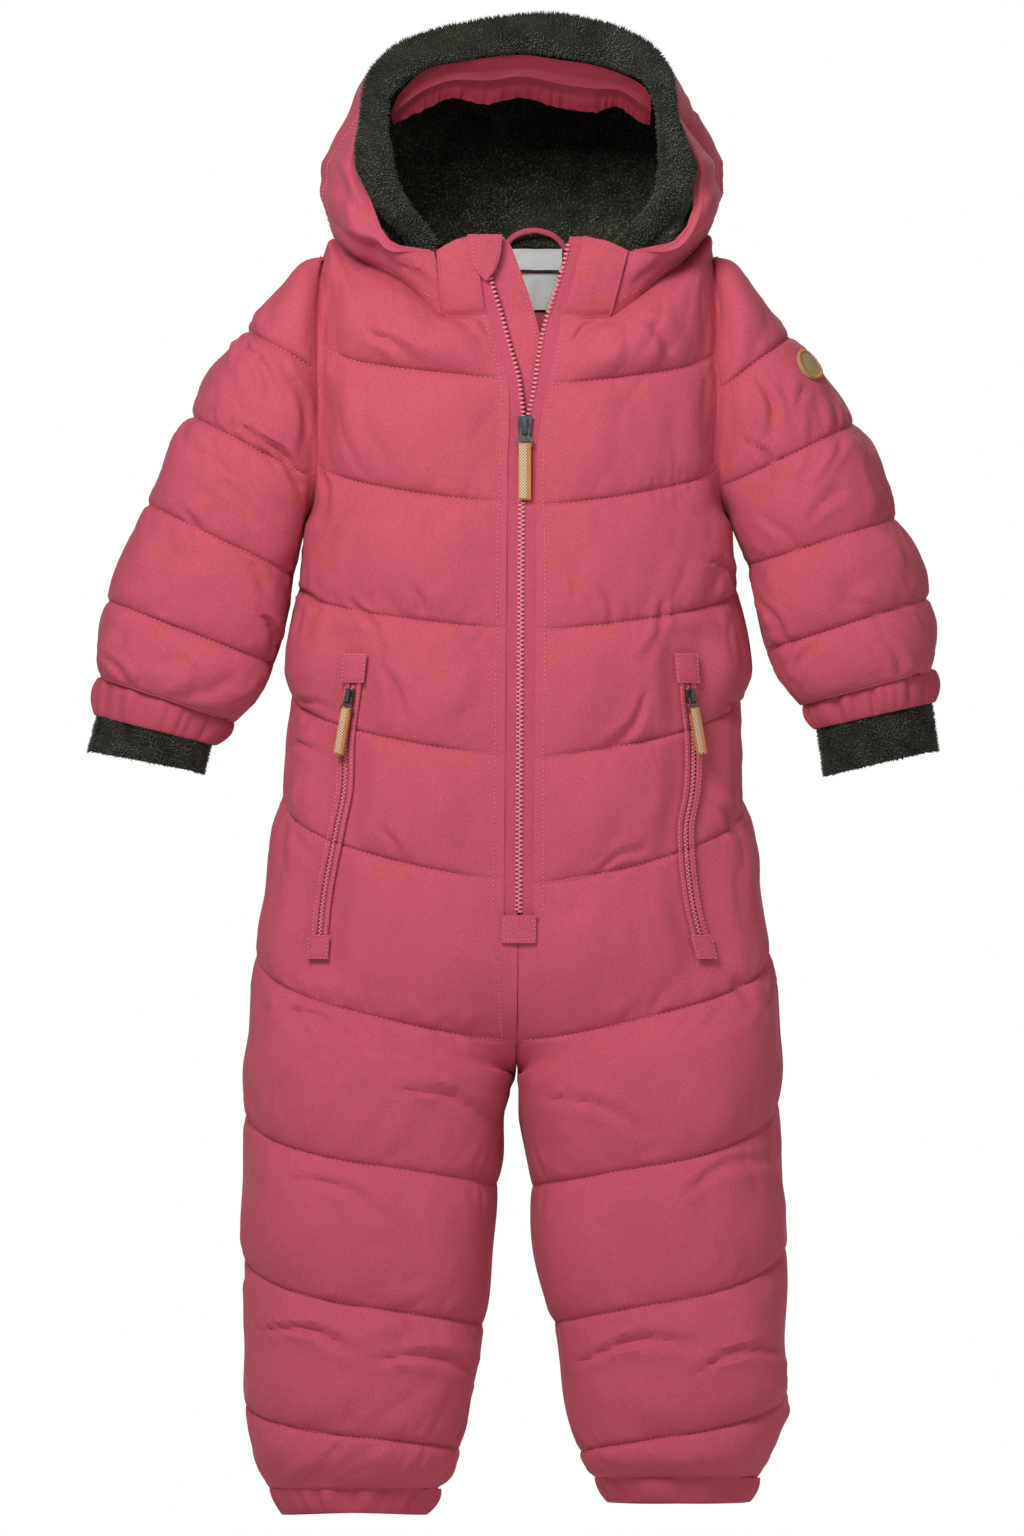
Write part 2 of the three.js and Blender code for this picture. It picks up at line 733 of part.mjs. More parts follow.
const SHARES = [0, 0.2, 0.5, 0.8];
function bodyRows(face) {
  const rows = [0, 0.12, 0.3, 0.5, 0.7, 0.85, 1, 1.2, 1.5, 1.8, 2, 2.25, 2.46, 2.8, ...bandSteps(3, 5, SHARES)];
  rows.pop();
  if (face < 0) {
    rows.push(5, 5.12, 5.218, 5.29, 5.5, 5.8);
  } else {
    rows.push(5, 5.2, 5.5, 5.8);
  }
  rows.push(6, 6.12, 6.245, 6.5, 6.8);
  rows.push(...bandSteps(7, LAST_LINE, SHARES));
  return rows;
}
const BODY_COLUMNS = [...NECK_STEPS.map((step) => step * NECK_SHARE), 0.065, 0.59, 0.77, 0.93, 1].sort();
for (const side of [-1, 1]) {
  for (const face of [-1, 1]) {
    const rows = bodyRows(face);
    const name = `${face < 0 ? "front" : "back"}_${side < 0 ? "right" : "left"}`;
    addWall(
      name,
      [rows, BODY_COLUMNS],
      [everySecond(rows), [0, 2, 3, 4, 5, 7, 9, 11]],
      (u, v) => bodyOuter(side, face, u, v),
      (u, v) => bodyInner(side, face, u, v),
      CORAL,
    );
  }
}

// Sleeves
const picturePoint = (spot) => new THREE.Vector3(columnToX(spot[0]), 0, rowToZ(spot[1]));
function armholeAt(side, face, z) {
  const y = Math.max(read(ARMHOLE, face < 0 ? 2 : 3, z), 0);
  return new THREE.Vector3(side * (read(ARMHOLE, 1, z) + 0.4), y * face, z);
}
function sleeveBase(side, line, v) {
  const rows = SLEEVES[side];
  const table = rows.map((row) => {
    const outer = picturePoint(row.outer);
    const z = row.seam ? rowToZ(row.seam[1]) : rowToZ(row.seamRow);
    const seam = row.seam ? picturePoint(row.seam) : armholeAt(side, -1, z);
    return [row.line, outer.x, outer.z, seam.x, seam.z, Math.abs(seam.y), row.half];
  });
  const outer = new THREE.Vector3(read(table, 1, line), 0, read(table, 2, line));
  const zSeam = read(table, 4, line);
  const face = v < 0.5 ? -1 : 1;
  let seam = new THREE.Vector3(read(table, 3, line), 0, zSeam);
  if (zSeam > UNDERARM_Z) {
    seam = armholeAt(side, face, zSeam);
  }
  const edge = Math.abs(seam.y);
  seam.y = 0;
  const half = Math.max(read(table, 6, line), edge + 1);
  const inward = outer.clone().sub(seam).normalize();
  outer.addScaledVector(inward, -SLEEVE_PUFF * SEAM_PUFF_SHARE * 0.8);
  const start = Math.asin(clamp((edge / half) ** (CORNER_POWER / 2), 0, 1));
  const angle = mix(start, Math.PI, v < 0.5 ? v * 2 : (1 - v) * 2);
  const share = 2 / CORNER_POWER;
  const along = (turn) => (1 - signedPower(Math.cos(turn), share)) / 2;
  const virtual = seam.clone().addScaledVector(outer, -along(start)).multiplyScalar(1 / (1 - along(start)));
  const across = outer.clone().sub(virtual);
  const rise = Math.max(Math.sin(angle), 0) ** share;
  const point = virtual.clone().addScaledVector(across, along(angle));
  point.y = face * (half * rise + SEAM_GAP * 0.5);
  const out = across.clone().normalize();
  const xPart = -signedPower(Math.cos(angle), share * (CORNER_POWER - 1)) / (across.length() / 2);
  out.multiplyScalar(xPart);
  out.y = (face * rise ** (CORNER_POWER - 1)) / half;
  out.normalize();
  return { point, out };
}
function sleevePuff(side, line, v) {
  const band = clamp(Math.floor(line), 0, 4);
  const share = clamp(line - band, 0, 1);
  const round = Math.min(v, 1 - v) * 2;
  const nearSeam = mix(0.15, 1, soft(0, 0.3, round));
  const nearTop = mix(0.5, 1, soft(1, 0.75, round));
  const uneven = 1 + 0.16 * Math.sin(1.9 * band + 5 * v + side);
  return SLEEVE_PUFF * pillow(share) * nearSeam * nearTop * uneven;
}
const SLEEVE_ROWS = [0, 0.14, 0.4, 0.7, 1, 1.2, 1.5, 1.8, 2, 2.2, 2.45, 2.75, ...bandSteps(3, 5, SHARES)];
const SLEEVE_COLUMNS = evenSteps(18);
for (const side of [-1, 1]) {
  addWall(
    side < 0 ? "sleeve_right" : "sleeve_left",
    [SLEEVE_ROWS, SLEEVE_COLUMNS],
    [everySecond(SLEEVE_ROWS), everySecond(SLEEVE_COLUMNS)],
    (line, v) => {
      const { point, out } = sleeveBase(side, line, v);
      return keepOutside(side, point.addScaledVector(out, sleevePuff(side, line, v)));
    },
    (line, v) => {
      const { point, out } = sleeveBase(side, line, v);
      return keepOutside(side, point.addScaledVector(out, -WALL));
    },
    CORAL,
  );
}

// Elliptic loop between an outer and an inner picture point
function cuffLoop(ring, share, inset, count, wave = 0, gathers = 0) {
  const outer = picturePoint(ring[0].outer).lerp(picturePoint(ring[1].outer), share);
  const inner = picturePoint(ring[0].inner).lerp(picturePoint(ring[1].inner), share);
  const half = mix(ring[0].half, ring[1].half, share);
  const centre = outer.clone().add(inner).multiplyScalar(0.5);
  const across = outer.clone().sub(inner).multiplyScalar(0.5);
  const reach = across.length();
  across.normalize();
  const loop = [];
  for (let index = 0; index < count; index += 1) {
    const angle = (index / count) * Math.PI * 2;
    const lift = wave * (Math.cos(angle * gathers) + 0.35 * Math.sin(angle * 3 + 1)) - inset;
    const point = centre.clone().addScaledVector(across, (reach + lift) * Math.cos(angle));
    point.y += (half + lift) * Math.sin(angle);
    loop.push(point);
  }
  return loop;
}
for (const side of [-1, 1]) {
  const sideName = side < 0 ? "right" : "left";
  const rings = CUFFS[side];
  const casing = [rings.top, rings.foot];
  const count = CUFF_GATHERS * 3;
  addRing(
    `cuff_${sideName}`,
    [0.0, 0.5, 1].map((t) => cuffLoop(casing, t, t === 0.5 ? -0.6 : 1.2, count, GATHER_RISE * 0.6, CUFF_GATHERS)),
    [0.0, 1].map((t) => cuffLoop(casing, t, 3.4, count)),
    CORAL_DEEP,
  );
  const fleece = [rings.fleeceTop, rings.fleeceFoot];
  addRing(
    `fleece_cuff_${sideName}`,
    [0, 0.6, 1].map((t) => cuffLoop(fleece, t, 0, 24)),
    [0, 1].map((t) => cuffLoop(fleece, t, 3.5, 24)),
    FLEECE,
  );
}

// Leg hems
for (const side of [-1, 1]) {
  const sideName = side < 0 ? "right" : "left";
  const top = lineHeight(side, false, LAST_LINE) - 0.35;
  const loopAt = (drop, inset, wave) => {
    const z = top - drop;
    const outer = outerX(side, z);
    const inner = innerX(side, z);
    const centre = side * ((outer + inner) / 2);
    const half = (outer - inner) / 2;
    const loop = [];
    const count = HEM_GATHERS * 3;
    for (let index = 0; index < count; index += 1) {
      const angle = (index / count) * Math.PI * 2;
      const lift = wave * (Math.cos(angle * HEM_GATHERS) + 0.4 * Math.sin(angle * 3 + side)) - inset;
      const x = centre + (half + lift) * signedPower(Math.cos(angle), 0.9);
      const face = Math.sin(angle) < 0 ? -1 : 1;
      const y = face * (depth(face, z) + lift) * Math.abs(Math.sin(angle)) ** 0.9;
      loop.push(new THREE.Vector3(x, y, z + (drop / HEM_FOOT_DROP) * Math.sin(angle * 2 + side) * 0.6));
    }
    return loop;
  };
  addRing(
    `hem_${sideName}`,
    [
      loopAt(0, 1.5, GATHER_RISE * 0.7),
      loopAt(HEM_FOOT_DROP * 0.45, 0.6, GATHER_RISE * 0.7),
      loopAt(HEM_FOOT_DROP, 1.5, GATHER_RISE * 0.7),
    ],
    [loopAt(0, 5, 0), loopAt(HEM_FOOT_DROP, 5, 0)],
    CORAL_DEEP,
  );
}

// Hood: outward direction is the same for all its panels
function hoodOut(point) {
  return new THREE.Vector3(
    (point.x - HOOD_CENTRE[0]) / HOOD_RADII[0] ** 2,
    (point.y - HOOD_CENTRE[1]) / HOOD_RADII[1] ** 2,
    (point.z - HOOD_CENTRE[2]) / HOOD_RADII[2] ** 2,
  ).normalize();
}
function hoodSeam(side, step) {
  const x = read(HOOD_SEAM, sideColumn(side), step);
  return new THREE.Vector3(side * x, read(HOOD_SEAM, 3, step), read(HOOD_SEAM, 4, step));
}
function hoodFront(side, step) {
  const at = Math.min(step, HOOD_LOW_STEP);
  const x = read(HOOD_FRONT, sideColumn(side), at);
  return new THREE.Vector3(side * x, read(HOOD_FRONT, 3, at), read(HOOD_FRONT, 4, at));
}
// Middle panel, v from the right seam -1 to the left seam +1
function hoodBackBase(step, v) {
  const angle = (v * Math.PI) / 2;
  const share = 2 / 2.3;
  const across = Math.abs(Math.sin(angle)) ** share;
  const reach = Math.max(Math.cos(angle), 0) ** share;
  const side = v < 0 ? -1 : 1;
  const seam = hoodSeam(side, step);
  const rise = new THREE.Vector3(0, read(HOOD_SPINE, 1, step) - seam.y, read(HOOD_SPINE, 2, step) - seam.z);
  const middle = (hoodSeam(1, step).x + hoodSeam(-1, step).x) / 2;
  const point = new THREE.Vector3(middle + (seam.x - middle) * across, seam.y, seam.z);
  point.addScaledVector(rise, reach);
  const flare = Math.sin(Math.PI * clamp((1 - Math.abs(v)) / 0.5, 0, 1)) * soft(0.3, 0.6, step);
  point.x += side * HOOD_FLARE * flare * (1 - soft(0.8, 1, step));
  const low = soft(0.82, 1, step) * soft(1, 0.8, Math.abs(v));
  const neck = neckPoint(side, 1, Math.abs(v), 0.5);
  return point.lerp(neck, step > 0.9999 ? 1 : low);
}
// Side panel, v from the seam 0 to the front edge 1
function hoodSideRow(side, step, v) {
  const seam = hoodSeam(side, step);
  const front = hoodFront(side, step);
  const angle = (v * Math.PI) / 2;
  return new THREE.Vector3(
    mix(seam.x, front.x, 1 - Math.cos(angle) ** 0.9),
    mix(seam.y, front.y, Math.sin(angle) ** 0.9),
    mix(seam.z, front.z, v),
  );
}
function hoodSideBase(side, step, v) {
  if (step <= HOOD_LOW_STEP) {
    return hoodSideRow(side, step, v);
  }
  const t = (step - HOOD_LOW_STEP) / (1 - HOOD_LOW_STEP);
  const neck = neckPoint(side, -1, mix(1, NECK_CHIN_STEP, v), 0.5);
  const low = hoodSeam(side, HOOD_LOW_STEP).lerp(hoodSeam(side, 1), t);
  const point = hoodSideRow(side, HOOD_LOW_STEP, v).lerp(neck, t);
  return point.addScaledVector(hoodSeam(side, step).sub(low), (1 - v) * (1 - t));
}
const shifted = (point, out, distance) => point.clone().addScaledVector(out, distance);
const HOOD_STEPS = [0, 0.1, 0.2, 0.3, 0.4, 0.5, 0.6, 0.7, 0.8, 0.87, 0.93, 0.965, 1];
const HOOD_ACROSS = [-1, -0.9, -0.79, -0.68, -0.58, -0.44, -0.3, -0.15, 0];
HOOD_ACROSS.push(...HOOD_ACROSS.slice(0, 8).map((step) => -step).reverse());
const hoodBackAt = (step, v, inset) => {
  const point = hoodBackBase(step, v);
  return shifted(point, hoodOut(point), -inset);
};
addWall(
  "hood_back",
  [HOOD_STEPS, HOOD_ACROSS],
  [everySecond(HOOD_STEPS), everySecond(HOOD_ACROSS)],
  (step, v) => hoodBackAt(step, v, 0),
  (step, v) => hoodBackAt(step, v, HOOD_WALL),
  CORAL,
);
const SIDE_ACROSS = [0, 0.15, 0.3, 0.45, 0.6, 0.8, 1];
const hoodSideAt = (side, step, v, inset) => {
  const point = hoodSideBase(side, step, v);
  const out = hoodOut(point);
  return point.addScaledVector(out, -inset);
};
for (const side of [-1, 1]) {
  const at = (step, v, inset) => {
    const point = hoodSideAt(side, step, v, inset);
    point.y -= 0.3 * (1 - v);
    point.z -= step < 1 ? 0.15 * (1 - v) : 0;
    return point;
  };
  addWall(
    side < 0 ? "hood_side_right" : "hood_side_left",
    [HOOD_STEPS, SIDE_ACROSS],
    [everySecond(HOOD_STEPS), everySecond(SIDE_ACROSS)],
    (step, v) => at(step, v, 0),
    (step, v) => at(step, v, HOOD_WALL),
    CORAL,
  );
}

// Chin pieces between hood side and zip, u from the neck seam 0 to the top edge 1, v from the zip 0 to the side 1
const CHIN_TOP = { "-1": [17, 15], 1: [16, 12] };
function chinBase(side, u, v) {
  const neck = neckPoint(side, -1, mix(0, NECK_CHIN_STEP, v), 0.9);
  const front = hoodFront(side, HOOD_LOW_STEP);
  const z = mix(CHIN_TOP[side][0], front.z, v ** 1.5);
  const topX = mix(zipEdge(side, CHIN_TOP[side][0]), Math.abs(front.x) - 0.4, v);
  const top = new THREE.Vector3(side * topX, mix(-64, front.y, v), z);
  const point = neck.lerp(top, u);
  if (v < 0.5) {
    point.x = side * mix(zipEdge(side, point.z), Math.abs(point.x), v * 2);
  }
  point.x -= side * 1.1 * v;
  point.y -= 3 * Math.sin(Math.PI * u) * (0.3 + 0.7 * Math.sin(Math.PI * v));
  return point;
}
for (const side of [-1, 1]) {
  const rows = [0, 0.25, 0.5, 0.75, 1];
  const columns = [0, 0.25, 0.5, 0.75, 1];
  addWall(
    side < 0 ? "chin_right" : "chin_left",
    [rows, columns],
    [everySecond(rows), everySecond(columns)],
    (u, v) => chinBase(side, u, v),
    (u, v) => {
      const point = chinBase(side, u, v);
      point.y += HOOD_WALL;
      return point;
    },
    CORAL,
  );
}

// Hood lining: one sheet inside the shells, from front edge to front edge
const LINING_STEPS = [0.02, 0.2, 0.4, 0.6, 0.8, 0.93, 0.985];
const LINING_HALF = [0.3, 0.58, 0.79, 1, 1.3, 1.6, 1.86];
const LINING_ACROSS = [...LINING_HALF.map((step) => -step).reverse(), 0, ...LINING_HALF];
const liningAt = (step, across, inset) => {
  const side = across < 0 ? -1 : 1;
  const past = Math.abs(across) - 1;
  const sideStep = step * mix(1, 0.86, clamp(past, 0, 1));
  const sideInset = inset + 2.6 * soft(0, 0.3, past) + 2 * soft(0.6, 0.8, sideStep) * soft(0.3, 0.6, past);
  return past > 0 ? hoodSideAt(side, sideStep, past, sideInset) : hoodBackAt(step, across, inset);
};
addWall(
  "hood_lining",
  [LINING_STEPS, LINING_ACROSS],
  [LINING_STEPS.map((_, index) => index), LINING_ACROSS.map((_, index) => index)],
  (step, v) => liningAt(step, v, HOOD_WALL + 1.2),
  (step, v) => liningAt(step, v, HOOD_WALL + 1.2 + LINING_WALL),
  FLEECE,
);

// Fleece roll round the face opening
const ROLL_SECTIONS = 32;
const ROLL_SIDES = 10;
const rollSections = evenSteps(ROLL_SECTIONS).map((step) => {
  const key = step * (ROLL.length - 1);
  const outer = picturePoint([read(ROLL, 1, key), read(ROLL, 2, key)]);
  const inner = picturePoint([read(ROLL, 3, key), read(ROLL, 4, key)]);
  const centre = outer.clone().add(inner).multiplyScalar(0.5);
  const reach = outer.clone().sub(inner).multiplyScalar(0.5);
  centre.y = read(ROLL, 5, key);
  const thick = ROLL_HALF_THICK * (0.8 + 0.2 * soft(0, 0.15, Math.min(step, 1 - step)));
  return Array.from({ length: ROLL_SIDES }, (_, index) => {
    const angle = (index / ROLL_SIDES) * Math.PI * 2;
    const point = centre.clone().addScaledVector(reach, Math.cos(angle));
    point.y += thick * Math.sin(angle);
    return point;
  });
});
addLoft("hood_band", rollSections, FLEECE);

// Inner hood strip: smooth upper row, gathered lower row
function stripPoint(u, v, inset) {
  const key = v * (STRIP.length - 1);
  const top = picturePoint([read(STRIP, 1, key), read(STRIP, 2, key)]);
  const foot = picturePoint([read(STRIP, 3, key), read(STRIP, 4, key)]);
  const point = top.lerp(foot, u);
  const ends = soft(0, 0.12, Math.min(v, 1 - v));
  const gather = 1.6 * soft(0.5, 1, u) * Math.cos(v * STRIP_GATHERS * Math.PI * 2) * ends;
  const fold = -3 * Math.max(1 - Math.abs(u - 0.5) / 0.2, 0);
  point.y = -55.9 + 13 * u + fold + (inset > 0 ? inset : gather);
  return point;
}
{
  const rows = [0, 0.3, 0.5, 0.62, 0.82, 1];
  const columns = evenSteps(STRIP_GATHERS * 3);
  addWall(
    "hood_strip",
    [rows, columns],
    [[0, 2, 3, 5], evenSteps(14).map((step) => Math.round(step * STRIP_GATHERS * 3))],
    (u, v) => stripPoint(u, v, 0),
    (u, v) => stripPoint(u, v, 3.2),
    CORAL_DEEP,
  );
}

// Front zip: tape with its line of teeth, one each side
const zipHeights = [16, 0, -11, -22, -32, -50, -72, -87, -98, -114, -130, -165, -205, -250, -300, -350, -385, -409];
const zipFront = (z) => (z > -34 ? mix(-62.2, -64, clamp((z + 34) / 50, 0, 1)) : -depth(-1, z) - SEAM_GAP + 0.6);
for (const side of [-1, 1]) {
  const sections = zipHeights.map((z) => {
    const edge = side * (zipEdge(side, z) - 0.7);
    const chain = read(CHAIN, sideColumn(side), z) + side * 0.16;
    const shoulder = chain + side * 1.9;
    const y = zipFront(z);
    const at = (x, dy) => new THREE.Vector3(x, y + dy, z);
    return [
      at(edge, 0),
      at(shoulder, 0),
      at(shoulder, -CHAIN_HALF_THICK),
      at(chain, -CHAIN_HALF_THICK),
      at(chain, TAPE_THICK + CHAIN_HALF_THICK),
      at(shoulder, TAPE_THICK + CHAIN_HALF_THICK),
      at(shoulder, TAPE_THICK),
      at(edge, TAPE_THICK),
    ];
  });
  addLoft(side < 0 ? "zip_right" : "zip_left", sections, ZIP_RED);
}

// Underlap behind the open zip
{
  const sections = zipHeights.map((z) => {
    const y = zipFront(z) + 3.4;
    const low = read(UNDERLAP, 1, z);
    const high = read(UNDERLAP, 2, z);
    return [[low, 0], [high, 0], [high, 1.3], [low, 1.3]].map(([x, dy]) => new THREE.Vector3(x, y + dy, z));
  });
  addLoft("underlap", sections, CORAL_DEEP);
}

// Front panel place under a point of the front view: outer surface point and outward direction
function frontPlace(side, x, z) {
  const acrossAt = (u) => {
    let low = 0.02;
    let high = 0.98;
    for (let round = 0; round < 15; round += 1) {
      const v = (low + high) / 2;
      if (bodyOuter(side, -1, u, v).x * side < x * side) {
        low = v;
      } else {
        high = v;
      }
    }
    return (low + high) / 2;
  };
  let upper = 1;
  let lower = LAST_LINE;
  for (let round = 0; round < 15; round += 1) {
    const u = (upper + lower) / 2;
    if (bodyOuter(side, -1, u, acrossAt(u)).z > z) {
      upper = u;
    } else {
      lower = u;
    }
  }
  const u = (upper + lower) / 2;
  const v = acrossAt(u);
  return { point: bodyOuter(side, -1, u, v), out: bodyBase(side, -1, u, v).out };
}

// Pocket: frame of two lips, zip strip between them, garage box on top, box at the foot
const POCKET_ROWS = [656, 672, 690, 710, 730, 750, 775, 800, 825, 850, 880, 910, 935, 956];
function pocketSpot(side, row, across, lift) {
  const x = columnToX(read(POCKETS, sideColumn(side), row)) + across;
  const { point, out } = frontPlace(side, x, rowToZ(row));
  return point.addScaledVector(out, lift);
}
function pocketStrip(name, side, rows, from, to, low, high, look) {
  const sections = rows.map((row) => [
    pocketSpot(side, row, from, low),
    pocketSpot(side, row, to, low),
    pocketSpot(side, row, to, high),
    pocketSpot(side, row, from, high),
  ]);
  addLoft(name, sections, look);
}
for (const side of [-1, 1]) {
  const sideName = side < 0 ? "right" : "left";
  pocketStrip(`pocket_lip_inner_${sideName}`, side, POCKET_ROWS, -side * 5, -side * 1.8, 1.6, 3, CORAL);
  pocketStrip(`pocket_lip_outer_${sideName}`, side, POCKET_ROWS, side * 1.8, side * 5, 1.6, 3, CORAL);
  pocketStrip(`pocket_zip_${sideName}`, side, POCKET_ROWS.slice(1, -1), -side * 1.55, side * 1.55, 1.6, 2.5, ZIP_RED);
  pocketStrip(`pocket_garage_${sideName}`, side, [653, 668, 683], -7, 7, 3.5, 4.6, CORAL);
  pocketStrip(`pocket_foot_${sideName}`, side, [935, 947, 959], -6.5, 6.5, 3.6, 4.5, CORAL);
}

// Stitched box under the foot of the front zip
{
  const sections = [-411.5, -417, -423, -429].map((z) => {
    const reach = z > -413 ? 11.5 : 11;
    const y = -depth(-1, z) - SEAM_GAP;
    return [[-reach, 0.9], [0, 0.5], [reach, 0.9], [reach, -0.7], [0, -1.1], [-reach, -0.7]].map(
      ([x, dy]) => new THREE.Vector3(x + 0.6, y - 3 + dy, z),
    );
  });
  addLoft("zip_box", sections, CORAL);
}

// Chin guard over the top of the right line of teeth: height, right edge, left edge
const CHIN_GUARD = [
  [17.5, -32, -10],
  [6, -30.5, -11],
  [-4, -27.5, -14],
  [-11.5, -22.7, -17.6],
];
addLoft(
  "chin_guard",
  CHIN_GUARD.map(([z, low, high]) => {
    const y = zipFront(z) - CHAIN_HALF_THICK - 2.6;
    return [[low, 0], [high, 0], [high, 1.8], [low, 1.8]].map(([x, dy]) => new THREE.Vector3(x, y + dy, z));
  }),
  CORAL,
);

// Back neck: hanger loop and two plain labels
const LOOP_ARCH = [
  [505, 247],
  [511, 238],
  [521, 232],
  [537, 230],
  [551, 234],
  [560, 241],
  [565, 249],
];
const LOOP_WIDTH = 3.4;
addLoft(
  "hanger_loop",
  LOOP_ARCH.map((spot, index) => {
    const here = picturePoint(spot);
    const before = picturePoint(LOOP_ARCH[Math.max(index - 1, 0)]);
    const after = picturePoint(LOOP_ARCH[Math.min(index + 1, LOOP_ARCH.length - 1)]);
    const along = after.sub(before).normalize();
    const across = new THREE.Vector3(-along.z, 0, along.x).multiplyScalar(LOOP_WIDTH / 2);
    const y = 50 - 2 * Math.sin((index / (LOOP_ARCH.length - 1)) * Math.PI);
    return [[1, 0], [1, 1.4], [-1, 1.4], [-1, 0]].map(([k, dy]) => {
      const point = here.clone().addScaledVector(across, k);
      point.y = y + dy;
      return point;
    });
  }),
  CORAL,
);
function addPlate(name, left, right, top, foot, backTop, backFoot, thick, look) {
  const sections = [0, 0.5, 1].map((t) => {
    const z = rowToZ(mix(top, foot, t));
    const y = mix(backTop, backFoot, t);
    const low = columnToX(left);
    const high = columnToX(right);
    return [[low, 0], [high, 0], [high, thick], [low, thick]].map(([x, dy]) => new THREE.Vector3(x, y + dy, z));
  });
  addLoft(name, sections, look);
}
addPlate("label_upper", 512, 562, 249, 270, 52.4, 53, 0.7, PALE);
addPlate("label_lower", 521, 558, 273, 310, 54.2, 58.6, 0.7, PALE);

// Round plain patch on the left sleeve
const PATCH_LINE = 1.12;
const PATCH_TURN = 0.36;
const PATCH_RADIUS = 12.5;
{
  const place = (line, v) => {
    const { point, out } = sleeveBase(1, line, v);
    return { point: point.addScaledVector(out, sleevePuff(1, line, v)), out };
  };
  const middle = place(PATCH_LINE, PATCH_TURN);
  const perLine = place(PATCH_LINE + 0.02, PATCH_TURN).point.sub(middle.point).length() / 0.02;
  const perTurn = place(PATCH_LINE, PATCH_TURN + 0.01).point.sub(middle.point).length() / 0.01;
  const ringAt = (radius, lift) =>
    Array.from({ length: 20 }, (_, index) => {
      const angle = (index / 20) * Math.PI * 2;
      const line = PATCH_LINE + (radius * Math.cos(angle)) / perLine;
      const v = PATCH_TURN + (radius * Math.sin(angle)) / perTurn;
      const spot = place(line, v);
      return spot.point.lerp(middle.point, 0.15).addScaledVector(middle.out, lift);
    });
  addLoft("patch", [ringAt(PATCH_RADIUS, 1.2), ringAt(PATCH_RADIUS, 2.6), ringAt(PATCH_RADIUS - 1, 3)], OLIVE);
}

// Hard parts, drawn with the zip's front at y 0, outward to -y, hanging down
const wasm = await Module();
wasm.setup();
function toSolid(geometry) {
  const bare = geometry.clone();
  bare.deleteAttribute("normal");
  bare.deleteAttribute("uv");
  const merged = mergeVertices(bare.index ? bare.toNonIndexed() : bare, 1e-4);
  const mesh = new wasm.Mesh({
    numProp: 3,
    vertProperties: new Float32Array(merged.attributes.position.array),
    triVerts: new Uint32Array(merged.index.array),
  });
  return new wasm.Manifold(mesh);
}
function joined(geometries) {
  const mesh = wasm.Manifold.union(geometries.map(toSolid)).getMesh();
  const geometry = new THREE.BufferGeometry();
  geometry.setAttribute("position", new THREE.BufferAttribute(new Float32Array(mesh.vertProperties), 3));
  geometry.setIndex(new THREE.BufferAttribute(new Uint32Array(mesh.triVerts), 1));
  return geometry;
}
const box = (x, y, z, centre) => new THREE.BoxGeometry(x, y, z).translate(...centre);
